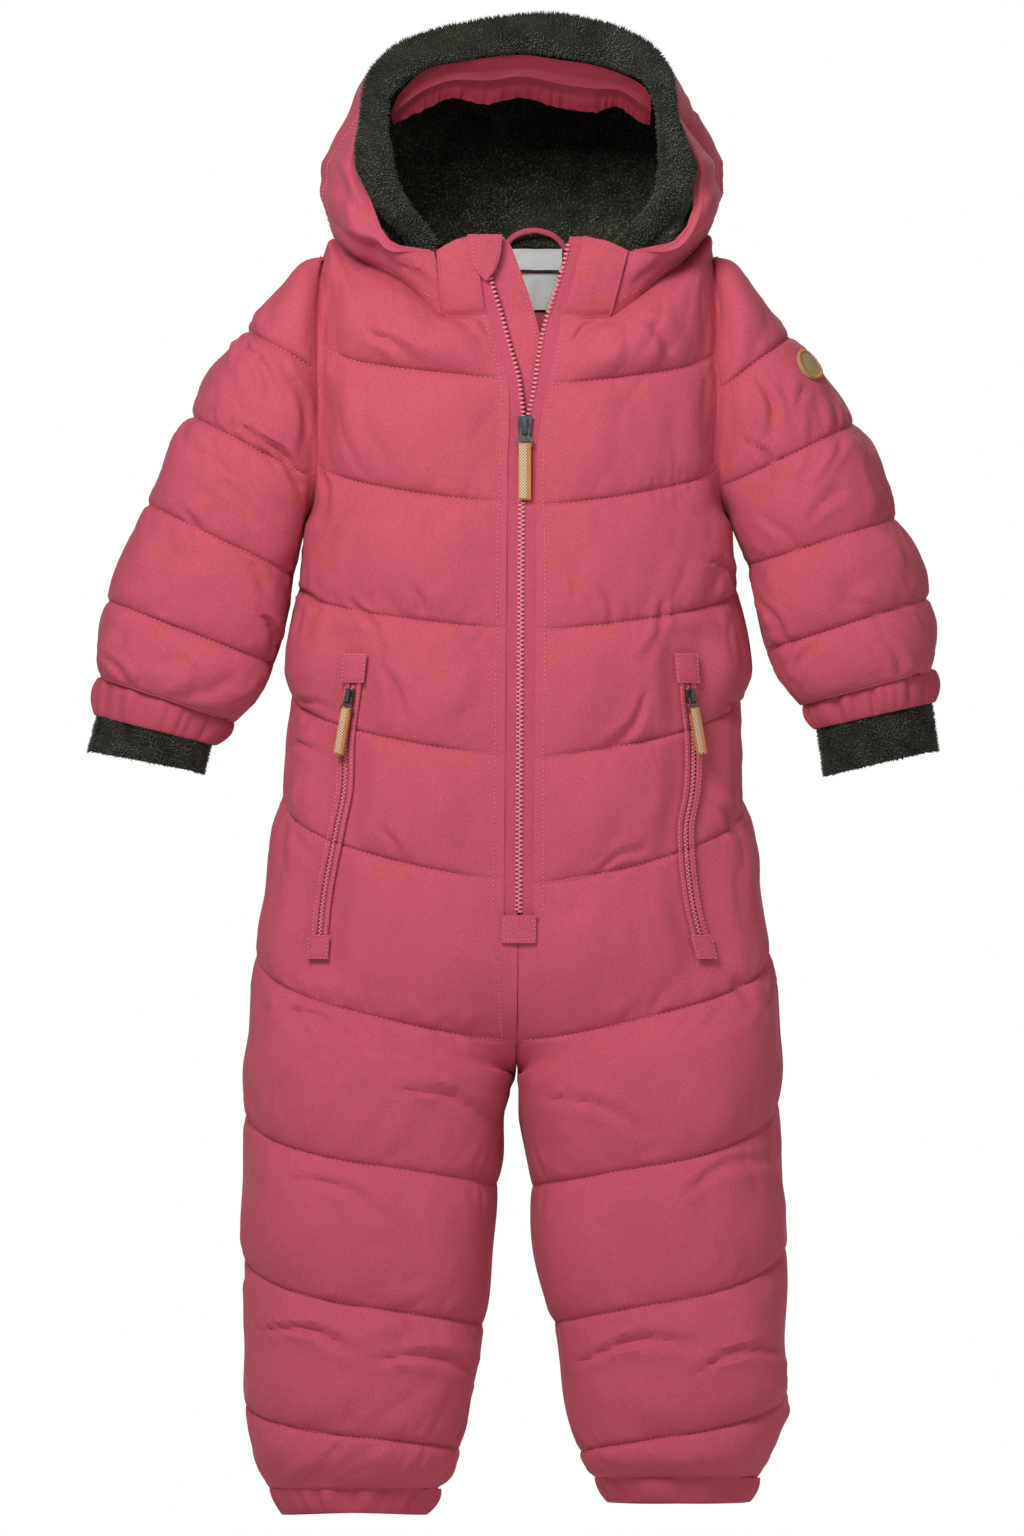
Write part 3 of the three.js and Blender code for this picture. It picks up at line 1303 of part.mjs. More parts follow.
// Flat outline in x and z, thickened along y
function plateFrom(outline, hole, front, thick) {
  const shape = new THREE.Shape(outline.map(([x, z]) => new THREE.Vector2(x, z)));
  if (hole) {
    shape.holes.push(new THREE.Path(hole.map(([x, z]) => new THREE.Vector2(x, z))));
  }
  const geometry = new THREE.ExtrudeGeometry(shape, { depth: thick, bevelEnabled: false });
  return geometry.rotateX(Math.PI / 2).translate(0, front + thick, 0);
}
function addHardware(names, size, place) {
  const turn = new THREE.Matrix4().makeRotationZ(Math.atan2(place.out.x, -place.out.y));
  const tilt = new THREE.Matrix4().makeRotationY(place.tilt);
  const move = new THREE.Matrix4().makeTranslation(place.point.x, place.point.y, place.point.z);
  const world = move.multiply(turn).multiply(tilt);
  const put = (name, geometry, look) => {
    const moved = geometry.index ? geometry.toNonIndexed() : geometry.clone();
    moved.applyMatrix4(world);
    moved.computeVertexNormals();
    const mesh = new THREE.Mesh(moved, new THREE.MeshStandardMaterial(look));
    mesh.name = name;
    suit.add(mesh);
  };
  const { width, length } = size;
  const half = length / 2;
  const front = -0.3;
  const plate = plateFrom(
    [[-width / 2, half], [-width * 0.4, -half], [width * 0.4, -half], [width / 2, half]],
    null,
    front - 1.5,
    1.5,
  );
  const face = front - 1.5;
  const windowDeep = 2.3;
  const wall = 1;
  const posts = [-1, 1].map((end) =>
    box(2.6, windowDeep + wall + 0.2, 1.3, [0, face - (windowDeep + wall) / 2 + 0.1, end * (half - 1.6)]),
  );
  const beam = box(2.6, wall, length - 1.9, [0, face - windowDeep - wall / 2, 0]);
  put(names.slider, joined([plate, ...posts, beam]), METAL);
  // puller: bar in the window, two cheeks, frame for the tab
  const barZ = -half + 1.6 + 0.65 + 1.15;
  const barY = face - windowDeep / 2;
  const bar = new THREE.CylinderGeometry(0.6, 0.6, 5.4, 12).rotateZ(Math.PI / 2);
  const cheeks = [-1, 1].map((end) => box(1.2, 1.3, 5.2, [end * 2.35, 0, -1.9]));
  const top = -3.9;
  const foot = top - size.puller;
  const wide = size.tab + 2.2;
  const frame = plateFrom(
    [[-2.95, top], [-wide / 2, top - 2], [-wide / 2, foot], [wide / 2, foot], [wide / 2, top - 2], [2.95, top]],
    [
      [-size.tab / 2 - 0.3, foot + 1.1],
      [size.tab / 2 + 0.3, foot + 1.1],
      [size.tab / 2 + 0.3, foot + 3.4],
      [-size.tab / 2 - 0.3, foot + 3.4],
    ],
    -0.55,
    1.1,
  );
  const lean = (geometry) => geometry.rotateX(-size.lean).translate(0, barY, barZ);
  put(names.puller, lean(joined([bar, ...cheeks, frame])), METAL);
  // tab: band folded round the foot of the frame
  const tabTop = foot + 2.6;
  const outline = [
    [1.3, tabTop - 0.6],
    [0.7, tabTop],
    [-0.7, tabTop],
    [-1.3, tabTop - 0.6],
    [-1.3, tabTop - size.tabLength + 0.6],
    [-0.8, tabTop - size.tabLength],
    [0.8, tabTop - size.tabLength],
    [1.3, tabTop - size.tabLength + 0.6],
  ];
  const shape = new THREE.Shape(outline.map(([y, z]) => new THREE.Vector2(y, z)));
  const eye = [[-0.85, foot - 0.3], [0.85, foot - 0.3], [0.85, foot + 1.5], [-0.85, foot + 1.5]];
  shape.holes.push(new THREE.Path(eye.map(([y, z]) => new THREE.Vector2(y, z))));
  const tab = new THREE.ExtrudeGeometry(shape, { depth: size.tab, bevelEnabled: false });
  const swap = new THREE.Matrix4().makeBasis(
    new THREE.Vector3(0, 1, 0),
    new THREE.Vector3(0, 0, 1),
    new THREE.Vector3(1, 0, 0),
  );
  swap.setPosition(-size.tab / 2, 0, 0);
  put(names.tab, lean(tab.applyMatrix4(swap)), TAN);
}
const SLIDER_Z = -103;
addHardware(
  { slider: "front_slider", puller: "front_puller", tab: "front_tab" },
  { width: 9.5, length: 12, puller: 7, tab: 7.8, tabLength: 36, lean: 0.062 },
  {
    point: new THREE.Vector3(4.2, zipFront(SLIDER_Z) - CHAIN_HALF_THICK - 0.6, SLIDER_Z),
    out: new THREE.Vector3(0, -1, 0),
    tilt: 0,
  },
);
const POCKET_SLIDER_ROW = 696;
for (const side of [-1, 1]) {
  const sideName = side < 0 ? "right" : "left";
  const { point, out } = frontPlace(
    side,
    columnToX(read(POCKETS, sideColumn(side), POCKET_SLIDER_ROW)),
    rowToZ(POCKET_SLIDER_ROW),
  );
  addHardware(
    { slider: `pocket_slider_${sideName}`, puller: `pocket_puller_${sideName}`, tab: `pocket_tab_${sideName}` },
    { width: 6.4, length: 9, puller: 5, tab: 6.4, tabLength: 30, lean: 0.1 },
    { point: point.addScaledVector(out, 3.6), out, tilt: side < 0 ? 0.14 : -0.14 },
  );
}

export default suit;
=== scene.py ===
import bpy
import math
import numpy as np
from mathutils import Matrix, Vector


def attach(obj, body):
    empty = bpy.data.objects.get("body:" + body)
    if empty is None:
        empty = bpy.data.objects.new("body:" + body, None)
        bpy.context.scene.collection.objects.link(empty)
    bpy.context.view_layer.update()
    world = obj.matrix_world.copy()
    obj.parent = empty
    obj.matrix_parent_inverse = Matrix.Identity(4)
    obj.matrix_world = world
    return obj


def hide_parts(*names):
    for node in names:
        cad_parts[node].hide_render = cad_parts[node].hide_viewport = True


# Baby snowsuit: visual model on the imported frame. Tables in picture pixels or mm, meshes in metres.
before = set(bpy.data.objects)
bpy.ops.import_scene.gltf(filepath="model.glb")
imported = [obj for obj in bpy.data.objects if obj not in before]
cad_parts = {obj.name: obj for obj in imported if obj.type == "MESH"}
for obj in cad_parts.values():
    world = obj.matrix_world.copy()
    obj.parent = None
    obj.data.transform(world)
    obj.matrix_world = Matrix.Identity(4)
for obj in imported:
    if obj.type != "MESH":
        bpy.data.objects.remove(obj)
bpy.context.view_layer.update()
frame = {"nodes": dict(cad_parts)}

MM = 0.001
PICTURE_MM = 0.63
PICTURE_COLUMN = 518
PICTURE_ROW = 262
WALL = 2.6
SEAM_GAP = 0.2
BODY_PUFF = 8
SLEEVE_PUFF = 6.5
SEAM_PUFF_SHARE = 0.42
CORNER_POWER = 2.35
ZIP_FOOT_Z = -414
CROTCH_Z = -512
CROTCH_RISE = {-1: -424, 1: -396}
UNDERARM_Z = -165
SHOULDER_END = (122.5, 0, -10)

# Quilt lines, picture rows: right side seam, right middle, left side seam, left middle
QUILT_LINES = [
    [352, 378, 358, 384], [468, 502, 470, 505], [588, 628, 590, 630], [695, 755, 698, 758],
    [795, 880, 800, 884], [955, 1040, 950, 1040], [1113, 1183, 1103, 1186], [1257, 1324, 1245, 1322],
    [1404, 1448, 1391, 1451], [1488, 1488, 1477, 1477],
]
LAST_LINE = len(QUILT_LINES)
# Outer edge of body and leg: picture row, right column, left column
OUTER_EDGE = [
    [540, 301, 735], [600, 295, 741], [650, 288, 749], [675, 286, 751], [710, 290, 741], [750, 287, 741],
    [790, 281, 744], [830, 272, 754], [890, 266, 759], [930, 257, 767], [970, 252, 775], [1030, 251, 778],
    [1070, 244, 782], [1120, 243, 781], [1180, 245, 781], [1240, 240.5, 788], [1290, 245, 786],
    [1340, 246, 783], [1400, 242.5, 790], [1430, 248, 781], [1460, 256, 769], [1478, 262, 760],
    [1489, 267, 755], [1514, 280, 746],
]
# Inner edge of the legs: picture row, right column, left column
INNER_EDGE = [
    [1050, 513, 518], [1095, 507, 519], [1115, 501, 521], [1160, 502, 528], [1200, 497, 531],
    [1250, 490, 536], [1310, 487, 549], [1350, 479, 560], [1410, 465, 568], [1450, 461, 578],
    [1470, 452, 588], [1489, 440, 600], [1514, 426, 610],
]
# Depth of body and leg from the side seam: height, front, back
DEPTH = [
    [-30, 62, 58], [-70, 71, 66], [-130, 78, 70], [-205, 82, 72], [-270, 82, 74], [-330, 80, 77],
    [-400, 79, 82], [-450, 77, 84], [-512, 75, 80], [-570, 72, 75], [-640, 67, 66], [-710, 61, 59],
    [-750, 54, 52], [-772, 44, 43], [-790, 40, 39],
]
# Armhole: height, distance from the middle, front depth, back depth
ARMHOLE = [
    [-10, 122.5, 0, 0], [-15, 124, 12, 11], [-26, 125, 22, 21], [-40, 125.5, 30, 28], [-57, 126, 34, 32],
    [-92, 126, 36, 34], [-130, 126.5, 34, 33], [-148, 128.5, 25, 25], [-158, 131, 14, 14], [-165, 134, 0, 0],
]
# Edge of the front panels beside the zip: height, right, left distance from the middle
ZIP_EDGE = [
    [17, 27, 42], [-11, 23.5, 34.5], [-34, 19.5, 28], [-50, 12.5, 24.2], [-76, 6.4, 19], [-100, 5.6, 14.6],
    [-125, 6.6, 12], [-200, 7.4, 11.4], [-411, 9, 9.6],
]
# Half of the neck seam: step, right, left distance from the middle, depth, height
NECK = {
    -1: [
        [0, 19.5, 27.7, -62.5, -33], [0.15, 34, 43, -61.5, -35.5], [0.3, 48, 59, -58.5, -34.5],
        [0.44, 60, 74, -52, -24], [0.58, 73, 87, -42, -13], [0.79, 96, 103, -20, -1], [1, 110, 113, 0, 8.5],
    ],
    1: [
        [0, 0.3, 0.3, 58, 5], [0.15, 22, 23, 57, 5.2], [0.3, 42, 44, 54.5, 5.5], [0.44, 60, 62, 49, 6],
        [0.58, 76, 78, 42, 6.5], [0.79, 97, 100, 24, 7.6], [1, 110, 113, 0, 8.5],
    ],
}
NECK_CHIN_STEP = 0.3
# Pocket zips: picture row, column of the middle on the right, then on the left
POCKETS = [
    [656, 358, 683.5], [700, 353, 687], [740, 348, 691], [790, 346, 690], [830, 338, 684], [900, 325, 690],
    [956, 320, 704],
]
POCKET_HALF = 7
# Sleeve rows: outer column, row, seam column (0 at the armhole), seam row, half depth, quilt step
SLEEVES = {
    -1: [
        [322, 276, 0, 280, 14, 0], [283, 296, 0, 320, 34, 0.4], [245, 329, 0, 372, 45, 1],
        [217, 366, 0, 430, 49, 1.5], [190, 415, 0, 480, 51, 2], [170, 447, 0, 523, 51, 2.45],
        [145, 503, 293, 575, 49, 3], [125, 552, 285, 622, 47, 3.5], [106, 600, 273, 664, 45, 4],
        [99, 640, 259, 694, 43, 4.5], [98, 676, 235, 721, 40, 5],
    ],
    1: [
        [717, 276, 0, 280, 14, 0], [752, 298, 0, 322, 34, 0.4], [792, 335, 0, 390, 45, 1],
        [822, 372, 0, 440, 49, 1.5], [856, 423, 0, 488, 51, 2], [873, 455, 0, 523, 51, 2.45],
        [899, 517, 749, 566, 49, 3], [917, 562, 758, 610, 47, 3.5], [930, 597, 767, 650, 45, 4],
        [935, 635, 782, 680, 43, 4.5], [934, 669, 800, 704, 40, 5],
    ],
}
# Where body and sleeve meet: height, right, left distance from the middle
SLEEVE_CONTACT = [[-165, 134, 134], [-192, 139, 143.4], [-222, 144.2, 149.6], [-262, 153, 159]]
SLEEVE_CONTACT_FOOT = -262
# Padding of the bands from shoulder to ankle
BAND_FILL = [0.5, 0.9, 1, 1, 0.95, 1, 1.1, 1.1, 1.05, 0.75]
# Cuff rings: outer column, row, inner column, row, half depth; cloth top and foot, fleece top and foot
CUFFS = {
    -1: [[97, 676.6, 234, 721.9, 38.5], [93, 715, 216, 746, 34], [102, 704, 212, 733, 29],
         [89, 751, 203, 773, 33]],
    1: [[935, 669.6, 801, 704.9, 38.5], [936, 702, 812, 730, 34], [928, 690, 817, 714, 29],
        [937, 750, 825, 776, 33]],
}
HEM_FOOT_DROP = 16
# Hood middle panel: step, depth, height
HOOD_SPINE = [
    [0, -50, 146], [0.12, -24, 152.5], [0.28, 14, 151], [0.44, 52, 135], [0.6, 79, 108], [0.76, 86, 68],
    [0.88, 76, 33], [1, 58, 5.6],
]
# Hood seam: step, right, left distance from the middle, depth, height
HOOD_SEAM = [
    [0, 74, 80, -42, 131], [0.2, 92, 96, -32, 112], [0.4, 105, 109, -20, 88], [0.6, 113, 118.5, -9, 66],
    [0.8, 114, 119, -3, 38], [1, 110, 113, 0, 9],
]
# Hood front edge: step, right, left distance from the middle, depth, height
HOOD_FRONT = [
    [0, 74, 80, -47, 131], [0.12, 87, 91, -51, 122], [0.25, 98, 99.5, -54, 108], [0.38, 102.5, 106, -57, 88],
    [0.5, 103, 109, -58, 72], [0.62, 100, 111, -58.5, 54], [0.72, 93, 108.5, -59.5, 37],
    [0.8, 87, 103, -61, 19],
    [0.87, 73, 90, -62.5, 7.5], [0.93, 52, 70, -62.5, 6.5],
]
HOOD_LOW_STEP = 0.93
HOOD_FLARE = 11
HOOD_WALL = 2.4
LINING_WALL = 2.2
HOOD_CENTRE = np.array([0, 8, 62.0])
HOOD_RADII = np.array([122, 88, 95.0])
# Roll round the face: number, outer column, row, inner column, row, depth of its middle
ROLL = [
    [0, 416, 258, 440, 244, -42], [1, 403, 237, 428, 225, -46], [2, 382, 214, 411, 205, -58],
    [3, 364, 185, 398, 180, -65], [4, 353, 155, 392, 152, -67], [5, 352, 118, 388, 122, -67],
    [6, 360, 86, 392, 98, -65], [7, 377, 60, 408, 80, -62], [8, 405, 38, 432, 66, -60],
    [9, 470, 20, 478, 58, -58], [10, 543, 12, 532, 54, -57], [11, 600, 20, 590, 63, -58],
    [12, 643, 37, 625, 73, -60], [13, 668, 62, 644, 84, -63], [14, 680, 92, 655, 108, -66],
    [15, 690, 125, 657, 135, -67], [16, 695, 165, 658, 163, -67], [17, 687, 203, 652, 196, -64],
    [18, 662, 234, 634, 221, -47], [19, 641, 256, 613, 243, -42],
]
# Inner hood strip: number, upper column, row, gathered lower column, row
STRIP = [
    [0, 391, 112, 393, 125], [1, 401, 92, 404, 119], [2, 425, 70, 430, 107], [3, 458, 62, 452, 98],
    [4, 492, 57, 484, 104], [5, 523, 55, 523, 98], [6, 560, 60, 560, 108], [7, 593, 65, 593, 112],
    [8, 621, 74, 618, 107], [9, 643, 86, 638, 121], [10, 651, 99, 650, 125],
]
# Zip teeth lines: height, right line, left line
CHAIN = [
    [16, -20.5, 32], [0, -19, 28.4], [-11, -16.4, 25], [-32, -10, 18.3], [-50, -5.2, 13.8], [-72, 1, 10.6],
    [-87, 3, 8], [-98, 4, 5.4], [-130, 2.4, 2.8], [-411, 0.2, 0.6],
]
CHIN_TOP = {-1: [17, 15], 1: [16, 12]}
PATCH_LINE = 1.36
PATCH_TURN = 0.365


# Fine points for each point of a plain inner wall
PARTS = 4


# Numbers and curves
def clip01(value):
    return np.clip(value, 0.0, 1.0)


def mix(start, end, share):
    return start + (end - start) * share


def soft(low, high, value):
    share = clip01((np.asarray(value, float) - low) / (high - low))
    return share * share * (3 - 2 * share)


def row_z(row):
    return (PICTURE_ROW - np.asarray(row, float)) * PICTURE_MM


def column_x(column):
    return (np.asarray(column, float) - PICTURE_COLUMN) * PICTURE_MM


def side_column(side):
    return 1 if side < 0 else 2


def stack(*parts):
    return np.stack(np.broadcast_arrays(*parts), axis=-1).astype(float)


def unit(vectors):
    return vectors / np.maximum(np.linalg.norm(vectors, axis=-1, keepdims=True), 1e-9)


def signed_power(value, power):
    return np.sign(value) * np.abs(value) ** power


def read(table, column, key):
    """Smooth reading of one column of a table whose first column rises or falls steadily."""
    values = np.asarray(table, float)
    keys = values[:, 0]
    heights = values[:, column]
    sign = 1.0 if keys[-1] > keys[0] else -1.0
    key = np.asarray(key, float)
    at = np.searchsorted(keys[1:-1] * sign, key * sign, side="left")
    index = np.arange(len(keys))
    low = np.maximum(index - 1, 0)
    high = np.minimum(index + 1, len(keys) - 1)
    slopes = (heights[high] - heights[low]) / (keys[high] - keys[low])
    span = keys[at + 1] - keys[at]
    t = clip01((key - keys[at]) / span)
    curve = mix(heights[at], heights[at + 1], t * t * (3 - 2 * t))
    return curve + t * (1 - t) ** 2 * span * slopes[at] - t * t * (1 - t) * span * slopes[at + 1]


def noise(x, y, seed):
    """Smooth gradient noise of two coordinates, about -1 to 1."""
    x, y = np.broadcast_arrays(np.asarray(x, float), np.asarray(y, float))
    cell_x = np.floor(x).astype(np.int64)
    cell_y = np.floor(y).astype(np.int64)
    part_x = x - cell_x
    part_y = y - cell_y

    def corner(step_x, step_y):
        code = (cell_x + step_x) * 374761393 + (cell_y + step_y) * 668265263 + int(seed) * 974634777
        code = np.bitwise_and(code, 0xFFFFFFFF)
        code = np.bitwise_and(np.bitwise_xor(code, code >> 13) * 1274126177, 0xFFFFFFFF)
        angle = np.bitwise_and(code >> 7, 4095) / 4096 * 2 * math.pi
        return np.cos(angle) * (part_x - step_x) + np.sin(angle) * (part_y - step_y)

    fade_x = part_x * part_x * (3 - 2 * part_x)
    fade_y = part_y * part_y * (3 - 2 * part_y)
    low = mix(corner(0, 0), corner(1, 0), fade_x)
    high = mix(corner(0, 1), corner(1, 1), fade_x)
    return mix(low, high, fade_y) * 1.5


# Body surfaces, u from shoulder 0 to ankle 10, v from the middle 0 to the side 1
NECK_SHARE = 0.86


def outer_x(side, z):
    return np.abs(column_x(read(OUTER_EDGE, side_column(side), PICTURE_ROW - z / PICTURE_MM)))


def inner_x(side, z):
    return np.maximum(side * column_x(read(INNER_EDGE, side_column(side), PICTURE_ROW - z / PICTURE_MM)), 0.4)


def body_depth(face, z):
    return read(DEPTH, 1 if face < 0 else 2, z)


def line_height(side, middle, u):
    column = (1 if middle else 0) if side < 0 else (3 if middle else 2)
    rows = np.asarray(QUILT_LINES, float)[:, column]
    u = np.asarray(u, float)
    at = np.clip(np.floor(u).astype(int) - 1, 0, LAST_LINE - 2)
    return row_z(mix(rows[at], rows[at + 1], u - 1 - at))


def middle_height(side, face, u):
    front = line_height(side, True, u)
    if face < 0:
        return front
    level = line_height(side, False, u) - 9
    return np.where(u >= 7, front, mix(level, front, soft(5.2, 6.6, u)))


def zip_edge(side, z):
    z = np.asarray(z, float)
    edge = read(ZIP_EDGE, side_column(side), z)
    foot = ZIP_FOOT_Z - 1
    return np.where(z > foot, edge, mix(edge, SEAM_GAP, clip01((foot - z) / 6)))


def trunk_base(side, face, u, v):
    z_middle = middle_height(side, face, u)
    rise = CROTCH_RISE[face]
    fall = clip01((rise - z_middle) / (rise - CROTCH_Z))
    leg = 1 - np.sqrt(1 - fall * fall)
    z = mix(z_middle, line_height(side, False, u), v ** mix(1.15, 2, leg))
    front = body_depth(face, z)
    share = 2 / CORNER_POWER
    edge_depth = np.maximum(read(ARMHOLE, 2 if face < 0 else 3, z), 0)
    high_end = read(ARMHOLE, 1, z)
    high_width = high_end / (1 - (edge_depth / front) ** CORNER_POWER) ** (1 / CORNER_POWER)
    side_puff = BODY_PUFF * SEAM_PUFF_SHARE * 0.8
    low_end = mix(134, outer_x(side, z) - side_puff, soft(UNDERARM_Z, UNDERARM_Z - 40, z))
    high = z > UNDERARM_Z
    x_end = np.where(high, high_end, low_end)
    width = np.where(high, high_width, low_end)
    x_start = zip_edge(side, z_middle) if face < 0 else SEAM_GAP + 0.1
    start = np.arcsin(clip01((x_start / width) ** (1 / share)))
    end = np.arcsin(clip01((x_end / width) ** (1 / share)))
    angle = mix(start, end, v)
    torso_x = width * np.sin(angle) ** share
    torso_y = front * np.maximum(np.cos(angle), 0) ** share
    torso_out = unit(stack(
        (torso_x / width) ** (CORNER_POWER - 1) / width, (torso_y / front) ** (CORNER_POWER - 1) / front,
        0 * z))
    inner = inner_x(side, np.minimum(z, CROTCH_Z)) + np.where(z < CROTCH_Z - 6, 2, 0)
    outer = outer_x(side, z) - side_puff
    half = (outer - inner) / 2
    turn = (v - 0.5) * math.pi
    loop_x = signed_power(np.sin(turn), share)
    loop_y = np.maximum(np.cos(turn), 0) ** share
    thigh_x = (outer + inner) / 2 + half * loop_x
    thigh_y = front * loop_y
    thigh_out = unit(stack(
        signed_power(loop_x, CORNER_POWER - 1) / half, loop_y ** (CORNER_POWER - 1) / front, 0 * z))
    x = mix(torso_x, thigh_x, leg)
    x = np.where(leg > 0, np.maximum(x, SEAM_GAP + 0.05), x)
    y = mix(torso_y, thigh_y, leg)
    out = unit(mix(torso_out, thigh_out, leg[..., None]))
    turned = np.array([side, face, 1.0])
    return stack(x * side, (y + SEAM_GAP) * face, z), out * turned


def neck_point(side, face, step, lift=0.0):
    table = np.asarray(NECK[face], float)
    step = np.asarray(step, float)
    x = np.interp(step, table[:, 0], table[:, side_column(side)])
    y = np.interp(step, table[:, 0], table[:, 3])
    z = np.interp(step, table[:, 0], table[:, 4])
    return stack(side * x, y + SEAM_GAP * face, z + lift)


def top_edge(side, face, v):
    end = np.array([side * SHOULDER_END[0], SEAM_GAP * face, SHOULDER_END[2]])
    neck = neck_point(side, face, np.minimum(v / NECK_SHARE, 1))
    past = clip01((v - NECK_SHARE) / (1 - NECK_SHARE))[..., None]
    return mix(neck, end, past)


def shoulder_base(side, face, u, v):
    s = (1 - u)[..., None]
    w = v[..., None]
    low, low_out = trunk_base(side, face, np.ones_like(v), v)
    start, _ = trunk_base(side, face, np.ones_like(v), np.zeros_like(v))
    end, _ = trunk_base(side, face, np.ones_like(v), np.ones_like(v))
    neck = top_edge(side, face, np.zeros_like(v))
    tip = top_edge(side, face, np.ones_like(v))
    z = mix(line_height(side, False, np.ones_like(v)), SHOULDER_END[2], s[..., 0])
    arm_y = np.maximum(read(ARMHOLE, 2 if face < 0 else 3, z), 0)
    arm = stack(side * read(ARMHOLE, 1, z), arm_y * face + SEAM_GAP * face, z)
    point = low * (1 - s) + top_edge(side, face, v) * s + mix(start, neck, s) * (1 - w) + arm * w
    point -= start * (1 - s) * (1 - w) + end * (1 - s) * w + neck * s * (1 - w) + tip * s * w
    top = np.array([0.79 * side, 0, 0.61])
    out = unit(mix(low_out, top, s * s * w))
    bulge = 9 * 4 * s * (1 - s) * np.sin(math.pi * w)
    return point + out * bulge, out


def body_base(side, face, u, v):
    u, v = np.broadcast_arrays(np.asarray(u, float), np.asarray(v, float))
    low, low_out = trunk_base(side, face, np.maximum(u, 1), v)
    high, high_out = shoulder_base(side, face, np.minimum(u, 1), v)
    pick = (u < 1)[..., None]
    return np.where(pick, high, low), np.where(pick, high_out, low_out)


def pocket_distance(side, point):
    row = PICTURE_ROW - point[..., 2] / PICTURE_MM
    x = column_x(read(POCKETS, side_column(side), np.clip(row, 656, 956)))
    past = np.maximum(np.maximum(640 - row, row - 966), 0) * PICTURE_MM
    distance = np.hypot(np.maximum(np.abs(point[..., 0] - x) - POCKET_HALF, 0), past)
    return np.where((row < 620) | (row > 990), 1000.0, distance)


def pillow(share):
    return (4 * share * (1 - share)) ** 0.6


def divider(side, z):
    high = read(ARMHOLE, 1, np.minimum(z, -10))
    low = read(SLEEVE_CONTACT, side_column(side), z)
    foot = 153.0 if side < 0 else 159.0
    return np.where(z < SLEEVE_CONTACT_FOOT, foot, np.where(z > UNDERARM_Z, high, low))


def keep_inside(side, point):
    limit = np.where(point[..., 2] < SLEEVE_CONTACT_FOOT, 1000, divider(side, point[..., 2]) - 0.16)
    point[..., 0] = side * np.maximum(np.minimum(point[..., 0] * side, limit), SEAM_GAP * 0.8)
    return point


def keep_outside(side, point):
    point[..., 0] = side * np.maximum(point[..., 0] * side, divider(side, point[..., 2]) + 0.16)
    return point


def body_puff(side, face, u, v, point):
    band = np.clip(np.floor(u), 0, LAST_LINE - 1)
    share = clip01(u - band)
    leg_share = soft(5.5, 6.6, u)
    near_middle = mix(mix(0.12, 1, soft(0, 0.16, v)), mix(SEAM_PUFF_SHARE, 1, soft(0, 0.3, v)), leg_share)
    near_side = mix(SEAM_PUFF_SHARE * soft(2.4, 3.2, u), 1, soft(1, 0.7, v))
    uneven = 1 + 0.14 * np.sin(2.1 * band + 4.7 * v + side + 1.7 * face)
    fill = np.asarray(BAND_FILL)[band.astype(int)]
    height = BODY_PUFF * fill * pillow(share) * near_middle * near_side * uneven
    if face < 0:
        height = mix(np.minimum(height, 2.2), height, soft(1, 16, pocket_distance(side, point)))
    return height


# Sleeves, line from the armhole 0 to the cuff 5, v round from the front seam 0 to the back seam 1
def sleeve_base(side, line, v):
    line, v = np.broadcast_arrays(np.asarray(line, float), np.asarray(v, float))
    table = []
    for column, row, seam_column, seam_row, half, step in SLEEVES[side]:
        z = float(row_z(seam_row))
        x = float(column_x(seam_column)) if seam_column else side * (float(read(ARMHOLE, 1, z)) + 0.4)
        edge = 0.0 if seam_column else max(float(read(ARMHOLE, 2, z)), 0)
        table.append([step, float(column_x(column)), float(row_z(row)), x, z, edge, half])
    outer = stack(read(table, 1, line), 0 * line, read(table, 2, line))
    z_seam = read(table, 4, line)
    face = np.where(v < 0.5, -1, 1)
    arm_y = np.where(face < 0, np.maximum(read(ARMHOLE, 2, z_seam), 0),
                     np.maximum(read(ARMHOLE, 3, z_seam), 0))
    high = z_seam > UNDERARM_Z
    seam_x = np.where(high, side * (read(ARMHOLE, 1, z_seam) + 0.4), read(table, 3, line))
    edge = np.where(high, arm_y, 0)
    seam = stack(seam_x, 0 * line, z_seam)
    half = np.maximum(read(table, 6, line), edge + 1)
    outer = outer - unit(outer - seam) * SLEEVE_PUFF * SEAM_PUFF_SHARE * 0.8
    start = np.arcsin(clip01((edge / half) ** (CORNER_POWER / 2)))
    angle = mix(start, math.pi, np.where(v < 0.5, v * 2, (1 - v) * 2))
    share = 2 / CORNER_POWER

    def along(turn):
        return ((1 - signed_power(np.cos(turn), share)) / 2)[..., None]

    virtual = (seam - outer * along(start)) / (1 - along(start))
    across = outer - virtual
    reach = np.linalg.norm(across, axis=-1)
    rise = np.maximum(np.sin(angle), 0) ** share
    point = virtual + across * along(angle)
    point[..., 1] = face * (half * rise + SEAM_GAP * 0.5)
    out = unit(across) * (-signed_power(np.cos(angle), share * (CORNER_POWER - 1)) / (reach / 2))[..., None]
    out[..., 1] = face * rise ** (CORNER_POWER - 1) / half
    return point, unit(out)


def sleeve_puff(side, line, v):
    band = np.clip(np.floor(line), 0, 4)
    share = clip01(line - band)
    around = np.minimum(v, 1 - v) * 2
    near_seam = mix(0.15, 1, soft(0, 0.3, around))
    near_top = mix(0.5, 1, soft(1, 0.75, around))
    uneven = 1 + 0.16 * np.sin(1.9 * band + 5 * v + side)
    return SLEEVE_PUFF * pillow(share) * near_seam * near_top * uneven


# Hood
def hood_out(point):
    return unit((point - HOOD_CENTRE) / HOOD_RADII ** 2)


def hood_seam(side, step):
    column = side_column(side)
    return stack(side * read(HOOD_SEAM, column, step), read(HOOD_SEAM, 3, step), read(HOOD_SEAM, 4, step))


